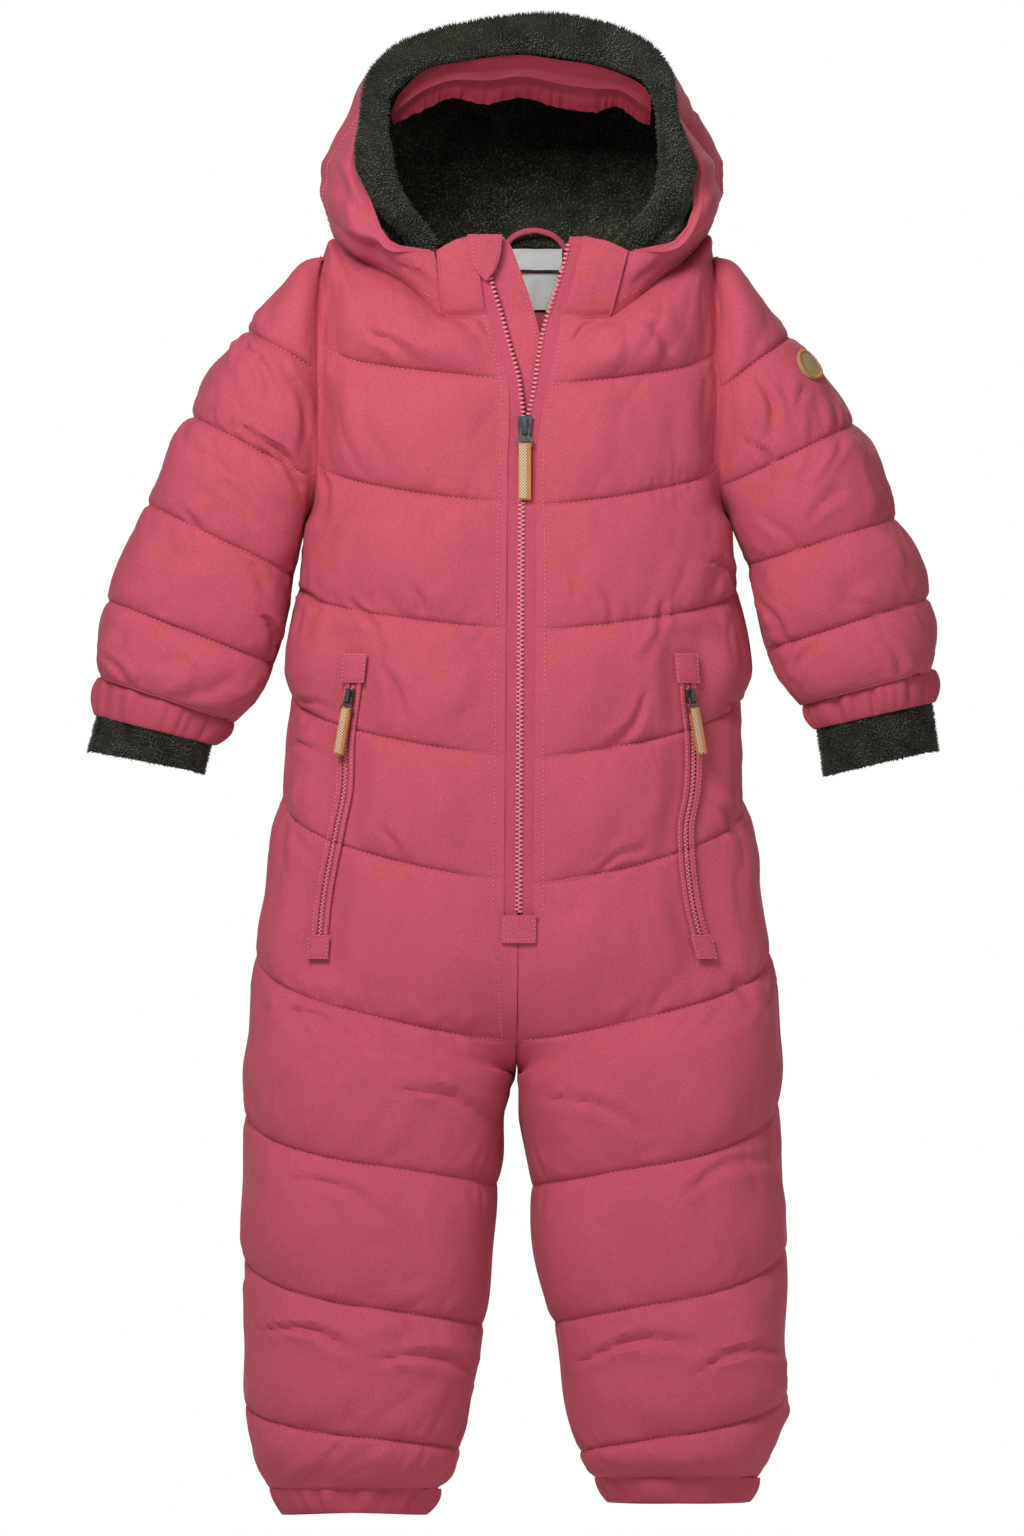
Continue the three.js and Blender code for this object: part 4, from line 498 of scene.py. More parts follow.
def hood_front(side, step):
    at = np.minimum(step, HOOD_LOW_STEP)
    return stack(side * read(HOOD_FRONT, side_column(side), at), read(HOOD_FRONT, 3, at),
                 read(HOOD_FRONT, 4, at))


def hood_back_base(step, v):
    step, v = np.broadcast_arrays(np.asarray(step, float), np.asarray(v, float))
    angle = v * math.pi / 2
    share = 2 / 2.3
    across = np.abs(np.sin(angle)) ** share
    reach = np.maximum(np.cos(angle), 0) ** share
    right, left = hood_seam(-1, step), hood_seam(1, step)
    seam = np.where((v < 0)[..., None], right, left)
    middle = (right[..., 0] + left[..., 0]) / 2
    x = middle + (seam[..., 0] - middle) * across
    y = mix(seam[..., 1], read(HOOD_SPINE, 1, step), reach)
    z = mix(seam[..., 2], read(HOOD_SPINE, 2, step), reach)
    side = np.where(v < 0, -1, 1)
    flare = np.sin(math.pi * clip01((1 - np.abs(v)) / 0.5)) * soft(0.3, 0.6, step)
    x = x + side * HOOD_FLARE * flare * (1 - soft(0.8, 1, step))
    low = soft(0.82, 1, step) * soft(1, 0.8, np.abs(v))
    low = np.where(step > 0.9999, 1, low)[..., None]
    neck = np.where((v < 0)[..., None], neck_point(-1, 1, np.abs(v), 0.5), neck_point(1, 1, np.abs(v), 0.5))
    return mix(stack(x, y, z), neck, low)


def hood_side_base(side, step, v):
    step, v = np.broadcast_arrays(np.asarray(step, float), np.asarray(v, float))
    row = np.minimum(step, HOOD_LOW_STEP)
    seam, front = hood_seam(side, row), hood_front(side, row)
    angle = v * math.pi / 2
    x = mix(seam[..., 0], front[..., 0], 1 - np.cos(angle) ** 0.9)
    y = mix(seam[..., 1], front[..., 1], np.sin(angle) ** 0.9)
    point = stack(x, y, mix(seam[..., 2], front[..., 2], v))
    t = clip01((step - HOOD_LOW_STEP) / (1 - HOOD_LOW_STEP))[..., None]
    neck = neck_point(side, -1, mix(1, NECK_CHIN_STEP, v), 0.5)
    low = mix(hood_seam(side, HOOD_LOW_STEP + 0 * step), hood_seam(side, 1 + 0 * step), t)
    shift = (hood_seam(side, step) - low) * (1 - v)[..., None] * (1 - t)
    return np.where(t > 0, mix(point, neck, t) + shift, point)


def hood_side_at(side, step, v, inset):
    point = hood_side_base(side, step, v)
    return point - hood_out(point) * np.asarray(inset, float)[..., None]


def hood_back_at(step, v, inset):
    point = hood_back_base(step, v)
    return point - hood_out(point) * np.asarray(inset, float)[..., None]


def chin_base(side, u, v):
    u, v = np.broadcast_arrays(np.asarray(u, float), np.asarray(v, float))
    neck = neck_point(side, -1, mix(0, NECK_CHIN_STEP, v), 0.9)
    front = hood_front(side, HOOD_LOW_STEP + 0 * v)
    top_z, _ = CHIN_TOP[side]
    z = mix(top_z, front[..., 2], v ** 1.5)
    top_x = mix(zip_edge(side, top_z), np.abs(front[..., 0]) - 0.4, v)
    top = stack(side * top_x, mix(-64, front[..., 1], v), z)
    point = mix(neck, top, u[..., None])
    edge = mix(zip_edge(side, point[..., 2]), np.abs(point[..., 0]), clip01(v * 2))
    point[..., 0] = np.where(v < 0.5, side * edge, point[..., 0]) - side * 1.1 * v
    point[..., 1] -= 3 * np.sin(math.pi * u) * (0.3 + 0.7 * np.sin(math.pi * v))
    return point


def lining_at(step, across, inset):
    step, across = np.broadcast_arrays(np.asarray(step, float), np.asarray(across, float))
    past = np.abs(across) - 1
    side_step = step * mix(1, 0.86, clip01(past))
    side_inset = inset + 2.6 * soft(0, 0.3, past) + 2 * soft(0.6, 0.8, side_step) * soft(0.3, 0.6, past)
    right = hood_side_at(-1, side_step, clip01(past), side_inset)
    left = hood_side_at(1, side_step, clip01(past), side_inset)
    sides = np.where((across < 0)[..., None], right, left)
    return np.where((past > 0)[..., None], sides,
                    hood_back_at(step, np.clip(across, -1, 1), inset + 0 * step))


def zip_front(z):
    z = np.asarray(z, float)
    return np.where(z > -34, mix(-62.2, -64, clip01((z + 34) / 50)), -body_depth(-1, z) - SEAM_GAP + 0.6)


def settle(points):
    """Fit of hood and shoulders to the outline of the front view, as in the solids."""
    points = np.array(points, float)
    x, z = points[..., 0], points[..., 2]
    reach = np.abs(x)
    rise = 13 * soft(98, 122, reach) * soft(160, 132, reach) * soft(-75, -15, z) * soft(75, 25, z)
    waist = -8 * np.exp(-(((z - 93) / 19) ** 2))
    neck = (2.5 * soft(72, 58, z) + 5 * soft(44, 28, z)) * soft(-14, 10, z)
    spread = (waist + neck) * soft(86, 118, reach)
    points[..., 0], points[..., 2] = x + np.sign(x) * spread, z + rise
    return points


# Meshes
scene = bpy.context.scene


def add_mesh(name, vertices, faces, material, body="suit", replaces=(), sharp=50):
    mesh = bpy.data.meshes.new(name)
    mesh.from_pydata((settle(vertices) * MM).tolist(), [], faces)
    mesh.polygons.foreach_set("use_smooth", [True] * len(mesh.polygons))
    mesh.set_sharp_from_angle(angle=math.radians(sharp))
    mesh.materials.append(material)
    obj = bpy.data.objects.new(name, mesh)
    scene.collection.objects.link(obj)
    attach(obj, body)
    if replaces:
        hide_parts(*replaces)
    return obj


def grid_faces(rows, columns, start=0, closed=False, flip=False):
    across = columns if closed else columns - 1
    i, j = np.meshgrid(np.arange(rows - 1), np.arange(across), indexing="ij")
    a = start + i * columns + j
    b = start + i * columns + (j + 1) % columns
    quads = np.stack([a, b, b + columns, a + columns], axis=-1).reshape(-1, 4)
    return quads[:, ::-1] if flip else quads


def rim_faces(outer, inner, parts, flip):
    """Triangles between a fine point row and one with a point for every few of its points."""
    faces = []
    for k in range(len(inner) - 1):
        first = k * parts
        middle = first + parts // 2
        for j in range(first, first + parts):
            near = inner[k] if j < middle else inner[k + 1]
            faces.append((outer[j + 1], outer[j], near))
        faces.append((outer[middle], inner[k], inner[k + 1]))
    return [face[::-1] for face in faces] if flip else faces


def wall(outer, inner, parts, closed=False):
    """Vertices and faces of a cloth wall from a fine outer and a coarse inner grid."""
    rows, columns = outer.shape[:2]
    low_rows, low_columns = inner.shape[:2]
    start = rows * columns
    vertices = np.concatenate([outer.reshape(-1, 3), inner.reshape(-1, 3)])
    faces = grid_faces(rows, columns, 0, closed).tolist()
    faces += grid_faces(low_rows, low_columns, start, closed, True).tolist()
    outside = np.arange(start).reshape(rows, columns)
    inside = start + np.arange(low_rows * low_columns).reshape(low_rows, low_columns)
    for row, flip in ((0, False), (-1, True)):
        fine, coarse = outside[row], inside[row]
        if closed:
            fine, coarse = np.append(fine, fine[0]), np.append(coarse, coarse[0])
        faces += rim_faces(fine.tolist(), coarse.tolist(), parts, flip)
    if not closed:
        faces += rim_faces(outside[:, 0].tolist(), inside[:, 0].tolist(), parts, True)
        faces += rim_faces(outside[:, -1].tolist(), inside[:, -1].tolist(), parts, False)
    a, b, c = (vertices[quad] for quad in grid_faces(rows, columns, 0, closed)[:, :3].T)
    middle = outer.reshape(-1, 3).mean(axis=0)
    if np.einsum("ij,ij->i", a - middle, np.cross(b - a, c - a)).sum() < 0:
        faces = [face[::-1] for face in faces]
    return vertices, faces


def refine(steps, parts=4):
    spans = [np.linspace(a, b, parts, endpoint=False) for a, b in zip(steps[:-1], steps[1:])]
    return np.concatenate(spans + [[steps[-1]]])


def band_rows(first, last, count):
    """Rows of quilt bands, close together at the stitched lines."""
    t = np.linspace(0, 1, count + 1)
    t = mix(t, 0.5 - 0.5 * np.cos(math.pi * t), 0.75)[:-1]
    return np.concatenate([band + t for band in range(first, last)] + [[last]])


seam_paths = []
cleft_paths = []


def sewn_edges(outer, inner, share=0.5, edges="tblr"):
    """Keeps the edges of a wall for the seam allowances: top, bottom, left and right."""
    middle = mix(outer[::PARTS, ::PARTS], inner, share)
    for letter, path in zip("tblr", (middle[0], middle[-1], middle[:, 0], middle[:, -1])):
        if letter in edges:
            seam_paths.append(path)


def arc_lengths(points, axis):
    steps = np.linalg.norm(np.diff(points, axis=axis), axis=-1)
    zero = np.zeros_like(np.take(steps, [0], axis=axis))
    return np.concatenate([zero, np.cumsum(steps, axis=axis)], axis=axis)


# Puckers at a stitched line: width along the line, reach from the line, height
PUCKERS = [[6, 4.5, 1.0], [13, 9, 1.9], [29, 17, 2.6]]
PINCH = (0.9, 1.7)


def puckers(along, distance, seed):
    total = np.zeros_like(along)
    for number, (width, reach, height) in enumerate(PUCKERS):
        key = seed * 7 + number
        slant = 0.35 * noise(along / 60, distance * 0 + number, key + 50) * distance
        lobes = np.abs(noise((along + slant) / width, distance / (reach * 2.5), key)) * 1.6 - 0.5
        nearness = distance / reach * np.exp(1 - distance / reach)
        calm = 0.25 + 0.75 * soft(-0.25, 0.45, noise(along / 55, distance * 0 + 3.7 * number, key + 90))
        total += height * nearness * calm * lobes
    return total - PINCH[0] * np.exp(-((distance / PINCH[1]) ** 2))


def line_puckers(base, per_band, seed, gain=1.0):
    """Puckers of a panel whose rows come in bands of per_band steps."""
    along = arc_lengths(base, 1)
    down = arc_lengths(base, 0)
    rows = np.arange(base.shape[0])
    above = np.minimum(rows // per_band * per_band, base.shape[0] - 1)
    below = np.minimum(above + per_band, base.shape[0] - 1)
    keys = (above // per_band)[:, None] + 0 * along
    upper = down - down[above]
    lower = down[below] - down
    total = np.zeros_like(along)
    for key in range(int(keys.max()) + 1):
        pick = keys == key
        high = puckers(along[pick], upper[pick], seed + key)
        low = puckers(along[pick] + 0.15 * lower[pick], lower[pick], seed + key + 1)
        total[pick] = high + low
    return total * gain


# Main creases in the picture: start column, row, end column, row, half width mm, depth mm
CREASES = {
    "front_right": [
        [375, 336, 412, 362, 7, 2.2], [415, 588, 422, 610, 5, 1.6], [355, 606, 382, 656, 6, 2.6],
        [370, 656, 402, 712, 6, 2.2], [307, 701, 341, 716, 5, 2.2], [298, 741, 339, 773, 6, 2.4],
        [460, 306, 503, 345, 6, 2.6], [402, 288, 465, 322, 7, 2.2], [318, 470, 330, 520, 5, 1.6],
        [420, 505, 430, 540, 5, 1.4], [300, 590, 322, 610, 5, 1.6], [385, 830, 400, 860, 5, 1.8],
        [300, 840, 330, 900, 6, 2.0], [280, 1010, 350, 1040, 6, 2.0], [400, 1090, 480, 1120, 7, 2.2],
        [300, 1180, 380, 1215, 7, 2.0], [270, 1330, 350, 1350, 6, 2.6], [380, 1360, 470, 1375, 7, 2.6],
    ],
    "front_left": [
        [575, 340, 610, 318, 6, 2.4], [640, 320, 668, 348, 7, 2.0], [600, 590, 612, 618, 5, 1.6],
        [660, 606, 645, 655, 6, 2.2], [700, 560, 735, 585, 5, 1.8], [640, 700, 612, 745, 6, 2.0],
        [715, 700, 740, 712, 5, 2.0], [700, 800, 735, 830, 6, 2.2], [600, 870, 640, 850, 5, 1.6],
        [700, 960, 745, 1000, 6, 2.2], [560, 1100, 640, 1130, 7, 2.2], [690, 1190, 760, 1160, 7, 2.0],
        [590, 1360, 690, 1345, 7, 2.6], [700, 1370, 770, 1350, 6, 2.4], [560, 560, 575, 600, 5, 1.4],
    ],
    "sleeve_right": [
        [242, 428, 258, 444, 5, 2.4], [263, 440, 296, 482, 5, 2.8], [246, 345, 272, 392, 5, 1.8],
        [285, 372, 303, 440, 5, 2.2], [186, 512, 198, 536, 5, 1.8], [256, 612, 272, 645, 5, 2.6],
        [243, 560, 262, 590, 5, 1.6], [140, 620, 170, 640, 6, 1.6], [112, 660, 128, 690, 5, 1.8],
        [180, 655, 196, 690, 5, 1.8], [215, 480, 250, 520, 6, 1.6],
    ],
    "sleeve_left": [
        [758, 380, 772, 430, 5, 2.2], [745, 440, 780, 478, 5, 2.6], [795, 405, 812, 380, 5, 1.8],
        [812, 520, 838, 492, 6, 1.8], [765, 600, 785, 636, 5, 2.4], [850, 600, 880, 622, 6, 1.6],
        [800, 680, 815, 645, 5, 1.8], [880, 640, 900, 676, 5, 1.8], [770, 520, 800, 560, 6, 1.6],
    ],
    "hood_right": [
        [335, 160, 345, 235, 6, 1.6], [352, 235, 392, 268, 8, 2.4], [360, 205, 378, 250, 7, 1.8],
        [395, 262, 440, 305, 7, 2.6], [430, 262, 470, 312, 7, 2.0],
    ],
    "hood_left": [
        [712, 160, 706, 230, 6, 1.6], [700, 235, 660, 268, 8, 2.4], [692, 210, 676, 252, 7, 1.8],
        [655, 262, 607, 286, 6, 3.0], [600, 258, 618, 264, 5, 2.4],
    ],
}


CREASE_GAIN = (0.8, 1.3)


def crease_field(point, creases):
    total = np.zeros(point.shape[:-1])
    for x0, y0, x1, y1, width, depth_mm in creases:
        start = np.array([float(column_x(x0)), float(row_z(y0))])
        end = np.array([float(column_x(x1)), float(row_z(y1))])
        length = np.linalg.norm(end - start)
        along = (end - start) / length
        dx = point[..., 0] - start[0]
        dz = point[..., 2] - start[1]
        t = (dx * along[0] + dz * along[1]) / length
        bend = 0.12 * length * np.sin(math.pi * clip01(t))
        off = (dx * along[1] - dz * along[0] + bend) / (width * CREASE_GAIN[0] * mix(0.6, 1.1, clip01(t)))
        taper = np.sqrt(np.maximum(np.sin(math.pi * clip01((t + 0.15) / 1.3)), 0))
        valley = -np.exp(-(off * 1.5) ** 2) + 0.55 * np.exp(-((np.abs(off) - 1.5) * 1.4) ** 2)
        total += depth_mm * CREASE_GAIN[1] * valley * taper
    return total


def hidden_creases(along, down, seed, count, reach):
    """Seeded creases for sides that the picture doesn't show: slanted valleys in arc lengths."""
    random = np.random.default_rng(seed)
    total = np.zeros_like(along)
    for _ in range(count):
        centre = random.uniform([0, 0], reach)
        angle = random.uniform(0.5, 2.6)
        length = random.uniform(18, 42)
        width = random.uniform(4, 7)
        high = random.uniform(1.2, 2.4)
        dx = along - centre[0]
        dy = down - centre[1]
        t = (dx * math.cos(angle) + dy * math.sin(angle)) / length
        off = (dy * math.cos(angle) - dx * math.sin(angle) + 4 * t * t) / width
        valley = -np.exp(-(off * 1.5) ** 2) + 0.55 * np.exp(-((np.abs(off) - 1.5) * 1.4) ** 2)
        total += high * valley * np.exp(-((t * 1.6) ** 4))
    return total


# Node trees
class Nodes:
    """A node tree with one way to add a node: its type, values or links by socket, and its settings."""

    def __init__(self, tree):
        self.tree = tree

    def node(self, kind, links=None, **settings):
        made = self.tree.nodes.new(kind)
        for key, value in settings.items():
            setattr(made, key, value)
        for key, value in (links or {}).items():
            if isinstance(value, Value):
                value = value.socket
            if isinstance(value, bpy.types.NodeSocket):
                self.tree.links.new(value, made.inputs[key])
            else:
                made.inputs[key].default_value = value
        return made


class Value:
    """A socket in a sum: with numbers or other values it adds its Math nodes."""

    def __init__(self, nodes, socket):
        self.nodes = nodes
        self.socket = socket

    def math(self, operation, first, second=0.0):
        made = self.nodes.node("ShaderNodeMath", {0: first, 1: second}, operation=operation)
        return Value(self.nodes, made.outputs[0])

    def __add__(self, other):
        return self.math("ADD", self, other)

    def __sub__(self, other):
        return self.math("SUBTRACT", self, other)

    def __rsub__(self, other):
        return self.math("SUBTRACT", other, self)

    def __mul__(self, other):
        return self.math("MULTIPLY", self, other)

    def wave(self):
        return self.math("SINE", self)

    __radd__ = __add__
    __rmul__ = __mul__


# Materials
class Shade(Nodes):
    """One material: a Principled shader and helpers for the sockets that vary."""

    def __init__(self, name, roughness=0.85, metallic=0.0, sheen=0.0, specular=0.3):
        self.material = bpy.data.materials.new(name)
        self.material.use_nodes = True
        super().__init__(self.material.node_tree)
        self.shader = self.tree.nodes["Principled BSDF"]
        self.shader.inputs["Roughness"].default_value = roughness
        self.shader.inputs["Metallic"].default_value = metallic
        self.shader.inputs["Sheen Weight"].default_value = sheen
        self.shader.inputs["Sheen Roughness"].default_value = 0.4
        self.shader.inputs["Specular IOR Level"].default_value = specular
        self.place = self.node("ShaderNodeTexCoord").outputs["Object"]

    def noise(self, scale, detail=2.0, rough=0.55, place=None):
        links = {"Vector": place or self.place, "Scale": scale, "Detail": detail, "Roughness": rough}
        return Value(self, self.node("ShaderNodeTexNoise", links).outputs["Fac"])

    def axis(self, name):
        return Value(self, self.node("ShaderNodeSeparateXYZ", {"Vector": self.place}).outputs[name])

    def ramp(self, factor, stops):
        made = self.node("ShaderNodeValToRGB", {"Fac": factor})
        elements = made.color_ramp.elements
        while len(elements) < len(stops):
            elements.new(0.5)
        for element, (place, color) in zip(elements, stops):
            element.position = place
            element.color = (*color, 1)
        return made.outputs["Color"]

    def blend(self, factor, first, second, kind="MIX"):
        links = {0: factor}
        for index, value in ((6, first), (7, second)):
            links[index] = value if isinstance(value, bpy.types.NodeSocket) else (*value, 1)
        return self.node("ShaderNodeMix", links, data_type="RGBA", blend_type=kind).outputs[2]

    def color(self, value):
        if isinstance(value, bpy.types.NodeSocket):
            self.tree.links.new(value, self.shader.inputs["Base Color"])
        else:
            self.shader.inputs["Base Color"].default_value = (*value, 1)
        return self

    def bump(self, height, strength, distance):
        links = {"Height": height, "Strength": strength, "Distance": distance}
        made = self.node("ShaderNodeBump", links)
        self.tree.links.new(made.outputs["Normal"], self.shader.inputs["Normal"])
        return self


def tint(color, gain):
    return tuple(channel * gain for channel in color)


def cloth(name, color, roughness=0.88, sheen=0.06, spread=0.17, weave=1100, bump=0.3):
    shade = Shade(name, roughness, sheen=sheen, specular=0.22)
    fine = shade.ramp(shade.noise(weave, 2, 0.7),
                      [(0.3, tint(color, 1 - spread)), (0.7, tint(color, 1 + spread))])
    broad = shade.ramp(shade.noise(26, 2), [(0.3, (0.95, 0.95, 0.95)), (0.7, (1, 1, 1))])
    shade.color(shade.blend(1.0, fine, broad, "MULTIPLY"))
    shade.bump(shade.noise(weave * 1.3, 1), bump, 0.0002)
    return shade.material


def pile_shade(name, dark, light, scale):
    shade = Shade(name, 1.0, sheen=0.25, specular=0.08)
    fine = shade.noise(scale, 2, 0.7)
    broad = shade.noise(70, 3, 0.6)
    shade.color(shade.ramp(fine * broad, [(0.14, dark), (0.42, light)]))
    return shade.material


def checked(name, dark, light):
    """Webbing of small checks."""
    shade = Shade(name, 0.8, specular=0.2)
    checks = (shade.axis("X") * 3300).wave() * (shade.axis("Z") * 3300).wave() * 0.5 + 0.5
    shade.color(shade.ramp(checks, [(0.35, dark), (0.62, light)]))
    return shade.material


CORAL = (0.53, 0.085, 0.125)
CORAL_TRIM = (0.50, 0.075, 0.115)
FLEECE_DARK = (0.012, 0.0115, 0.008)
FLEECE_LIGHT = (0.085, 0.083, 0.058)
looks = {
    "shell": cloth("shell_cloth", CORAL),
    "trim": cloth("trim_cloth", CORAL_TRIM, spread=0.08),
    # The strip is the coral cloth darkened to under half: painted shade, as it sits deep inside the hood.
    "strip": cloth("strip_cloth", (0.23, 0.018, 0.034), roughness=0.6, spread=0.05),
    "tape": cloth("zip_tape_cloth", (0.50, 0.075, 0.12), spread=0.16, weave=900),
    "thread": cloth("coral_thread", (0.78, 0.27, 0.31), roughness=0.6, spread=0.1, weave=2500),
    "teeth": Shade("coral_teeth", 0.38, specular=0.5).color((0.80, 0.26, 0.30)).material,
    "fleece": pile_shade("fleece_ground", FLEECE_DARK, tint(FLEECE_LIGHT, 0.45), 900),
    "pile": pile_shade("fleece_pile", tint(FLEECE_DARK, 1.6), FLEECE_LIGHT, 500),
    "lining_pile": pile_shade("lining_pile", tint(FLEECE_DARK, 1.8), tint(FLEECE_LIGHT, 2.0), 380),
    "label": cloth("label_cloth", (0.62, 0.63, 0.62), spread=0.04, weave=1200),
    "label_back": cloth("label_back_cloth", (0.50, 0.51, 0.50), spread=0.06, weave=1200),
    "badge": cloth("badge_face", (0.34, 0.24, 0.13), roughness=0.7, spread=0.12, weave=700),
    "badge_thread": cloth("badge_thread", (0.62, 0.22, 0.06), roughness=0.6, spread=0.1, weave=2500),
    "pull_edge": cloth("pull_edge", (0.50, 0.20, 0.065), roughness=0.6, spread=0.12, weave=900),
    "pull_web": checked("pull_webbing", (0.30, 0.15, 0.07), (0.70, 0.55, 0.40)),
    # Near-black thread paints the shadow gap between the two neck labels.
    "dark_thread": cloth("dark_thread", (0.03, 0.03, 0.035), roughness=0.7),
}
metal = Shade("gunmetal", 0.36, metallic=0.9, specular=0.5)
metal.color(metal.ramp(metal.noise(300, 2), [(0.3, (0.10, 0.10, 0.105)), (0.7, (0.19, 0.19, 0.195))]))
looks["metal"] = metal.material


# Body panels
BAND_STEPS = 8
PANEL_COLUMNS = refine(np.linspace(0, 1, 25), PARTS)
PANEL_ROWS = band_rows(0, LAST_LINE, BAND_STEPS * PARTS)


def panel_outer(side, face, u, v, gain=1.0, quiet=False):
    """Outer surface of a body panel on a grid of steps that starts each band anew."""
    point, out = body_base(side, face, u, v)
    height = body_puff(side, face, u, v, point)
    if not quiet:
        name = f"front_{'right' if side < 0 else 'left'}"
        seed = 11 + 40 * (side > 0) + 80 * (face > 0)
        detail = line_puckers(point, BAND_STEPS * PARTS, seed)
        along, down = arc_lengths(point, 1), arc_lengths(point, 0)
        detail += 1.3 * noise(along / 48, down / 60, seed + 5) + 0.7 * noise(along / 22, down / 30, seed + 6)
        if face < 0:
            detail += crease_field(point, CREASES[name])
            detail *= mix(0.1, 1, soft(2, 22, pocket_distance(side, point)))
        else:
            detail += hidden_creases(along, down, seed, 26, [along.max(), down.max()])
        fade = soft(0, 0.05, v) * soft(1, 0.96, v) * soft(0, 0.12, u) * soft(LAST_LINE, LAST_LINE - 0.1, u)
        detail = np.maximum(detail * fade, -height - 1.2)
        height = height + detail * gain
    return keep_inside(side, point + out * height[..., None]), out


def inner_wall(side, face, u, v, depth_mm):
    point, out = body_base(side, face, u, v)
    point = keep_inside(side, point) - out * depth_mm
    point[..., 0] = side * np.maximum(point[..., 0] * side, SEAM_GAP * 0.8)
    point[..., 1] = face * np.maximum(point[..., 1] * face, SEAM_GAP * 0.8)
    return point


def badge_place(line, v):
    line, v = np.asarray(line, float), np.asarray(v, float)
    point, out = sleeve_base(1, line, v)
    return point + out * sleeve_puff(1, line, v)[..., None], out


badge_middle, badge_out = badge_place(PATCH_LINE, PATCH_TURN)
sides = {-1: "right", 1: "left"}
panels = {}
for side, side_name in sides.items():
    for face, face_name in ((-1, "front"), (1, "back")):
        u, v = np.meshgrid(PANEL_ROWS, PANEL_COLUMNS, indexing="ij")
        outer, _ = panel_outer(side, face, u, v)
        panels[side, face] = outer
        inner = inner_wall(side, face, u[::PARTS, ::PARTS], v[::PARTS, ::PARTS], WALL)
        vertices, faces = wall(outer, inner, PARTS)
        sewn_edges(outer, inner, edges="tbl")
        sewn_edges(outer, inner, 0.25, "r")
        cleft = (inner[:, 0, 2] < -428) & (inner[:, 0, 2] > -545)
        cleft_paths.append(inner[cleft, 0] - [0, face * 1.5, 0])
        name = f"{face_name}_{side_name}"
        add_mesh(f"shell_{name}", vertices, faces, looks["shell"], replaces=[name])

# Sleeves
SLEEVE_ROWS = band_rows(0, 5, 7 * PARTS)
SLEEVE_COLUMNS = refine(np.linspace(0, 1, 31), PARTS)
sleeves = {}
for side, side_name in sides.items():
    line, v = np.meshgrid(SLEEVE_ROWS, SLEEVE_COLUMNS, indexing="ij")
    point, out = sleeve_base(side, line, v)
    seed = 201 + 30 * (side > 0)
    detail = line_puckers(point, 7 * PARTS, seed, 1.15)
    along, down = arc_lengths(point, 1), arc_lengths(point, 0)
    detail += 1.2 * noise(along / 40, down / 45, seed + 5)
    front = soft(0.6, 0.45, v)
    detail += crease_field(point, CREASES[f"sleeve_{side_name}"]) * front
    detail += hidden_creases(along, down, seed, 12, [along.max(), down.max()]) * (1 - front)
    detail *= soft(0, 0.03, v) * soft(1, 0.97, v) * soft(0, 0.15, line) * soft(5, 4.9, line)
    if side > 0:
        detail *= mix(0.05, 1, soft(12, 22, np.linalg.norm(point - badge_middle, axis=-1)))
    height = sleeve_puff(side, line, v)
    height = height + np.maximum(detail, -height - 1.2)
    outer = keep_outside(side, point + out * height[..., None])
    sleeves[side] = outer
    base, base_out = sleeve_base(side, line[::PARTS, ::PARTS], v[::PARTS, ::PARTS])
    inner = keep_outside(side, base - base_out * WALL)
    sewn_edges(outer, inner, 0.25)
    vertices, faces = wall(outer, inner, PARTS)
    add_mesh(f"shell_sleeve_{side_name}", vertices, faces, looks["shell"],
             replaces=[f"sleeve_{side_name}"])


# Gathered rings at cuffs and hems
def gathers(angle, seed, height):
    """Uneven soft folds round a ring."""
    around = angle / (2 * math.pi)
    total = np.zeros_like(angle)
    for count, share in ((15, 0.6), (27, 0.4)):
        near = noise(around * count, around * 0 + 0.5, seed + count)
        far = noise(around * count - count, around * 0 + 0.5, seed + count)
        total += share * (np.abs(mix(near, far, soft(0.9, 1, around))) * 3.4 - 0.8)
    return total * height


def cuff_loop(rings, share, angle, lift):
    top, foot = (np.asarray(ring, float) for ring in rings)
    ring = mix(top, foot, share)
    outer = np.array([float(column_x(ring[0])), 0, float(row_z(ring[1]))])
    inner = np.array([float(column_x(ring[2])), 0, float(row_z(ring[3]))])
    centre = (outer + inner) / 2
    across = (outer - inner) / 2
    reach = np.linalg.norm(across)
    across = across / reach
    point = centre + across * ((reach + lift) * np.cos(angle))[..., None]
    point[..., 1] += (ring[4] + lift) * np.sin(angle)
    return point


def hem_loop(side, drop, angle, lift):
    z = float(line_height(side, False, LAST_LINE)) - 0.35 - drop
    outer, inner = float(outer_x(side, z)), float(inner_x(side, z))
    face = np.where(np.sin(angle) < 0, -1, 1)
    depth_y = np.where(face < 0, body_depth(-1, z), body_depth(1, z))
    x = side * (outer + inner) / 2 + ((outer - inner) / 2 + lift) * signed_power(np.cos(angle), 0.9)
    y = face * (depth_y + lift) * np.abs(np.sin(angle)) ** 0.9
    return stack(x, y, z + drop / HEM_FOOT_DROP * np.sin(angle * 2 + side) * 0.6)


RING_STEPS = 76
RING_ANGLES = np.arange(RING_STEPS * PARTS) / (RING_STEPS * PARTS) * 2 * math.pi
RING_ROWS = refine(np.linspace(0, 1, 6), PARTS)


def ring_piece(name, outer_at, inner_at, look, node):
    outer = np.stack([outer_at(share) for share in RING_ROWS])
    inner = np.stack([inner_at(share)[::PARTS] for share in RING_ROWS[::PARTS]])
    sewn_edges(np.concatenate([outer, outer[:, :1]], axis=1), np.concatenate([inner, inner[:, :1]], axis=1),
               edges="t")
    vertices, faces = wall(outer, inner, PARTS, closed=True)
    return add_mesh(name, vertices, faces, looks[look], replaces=[node])


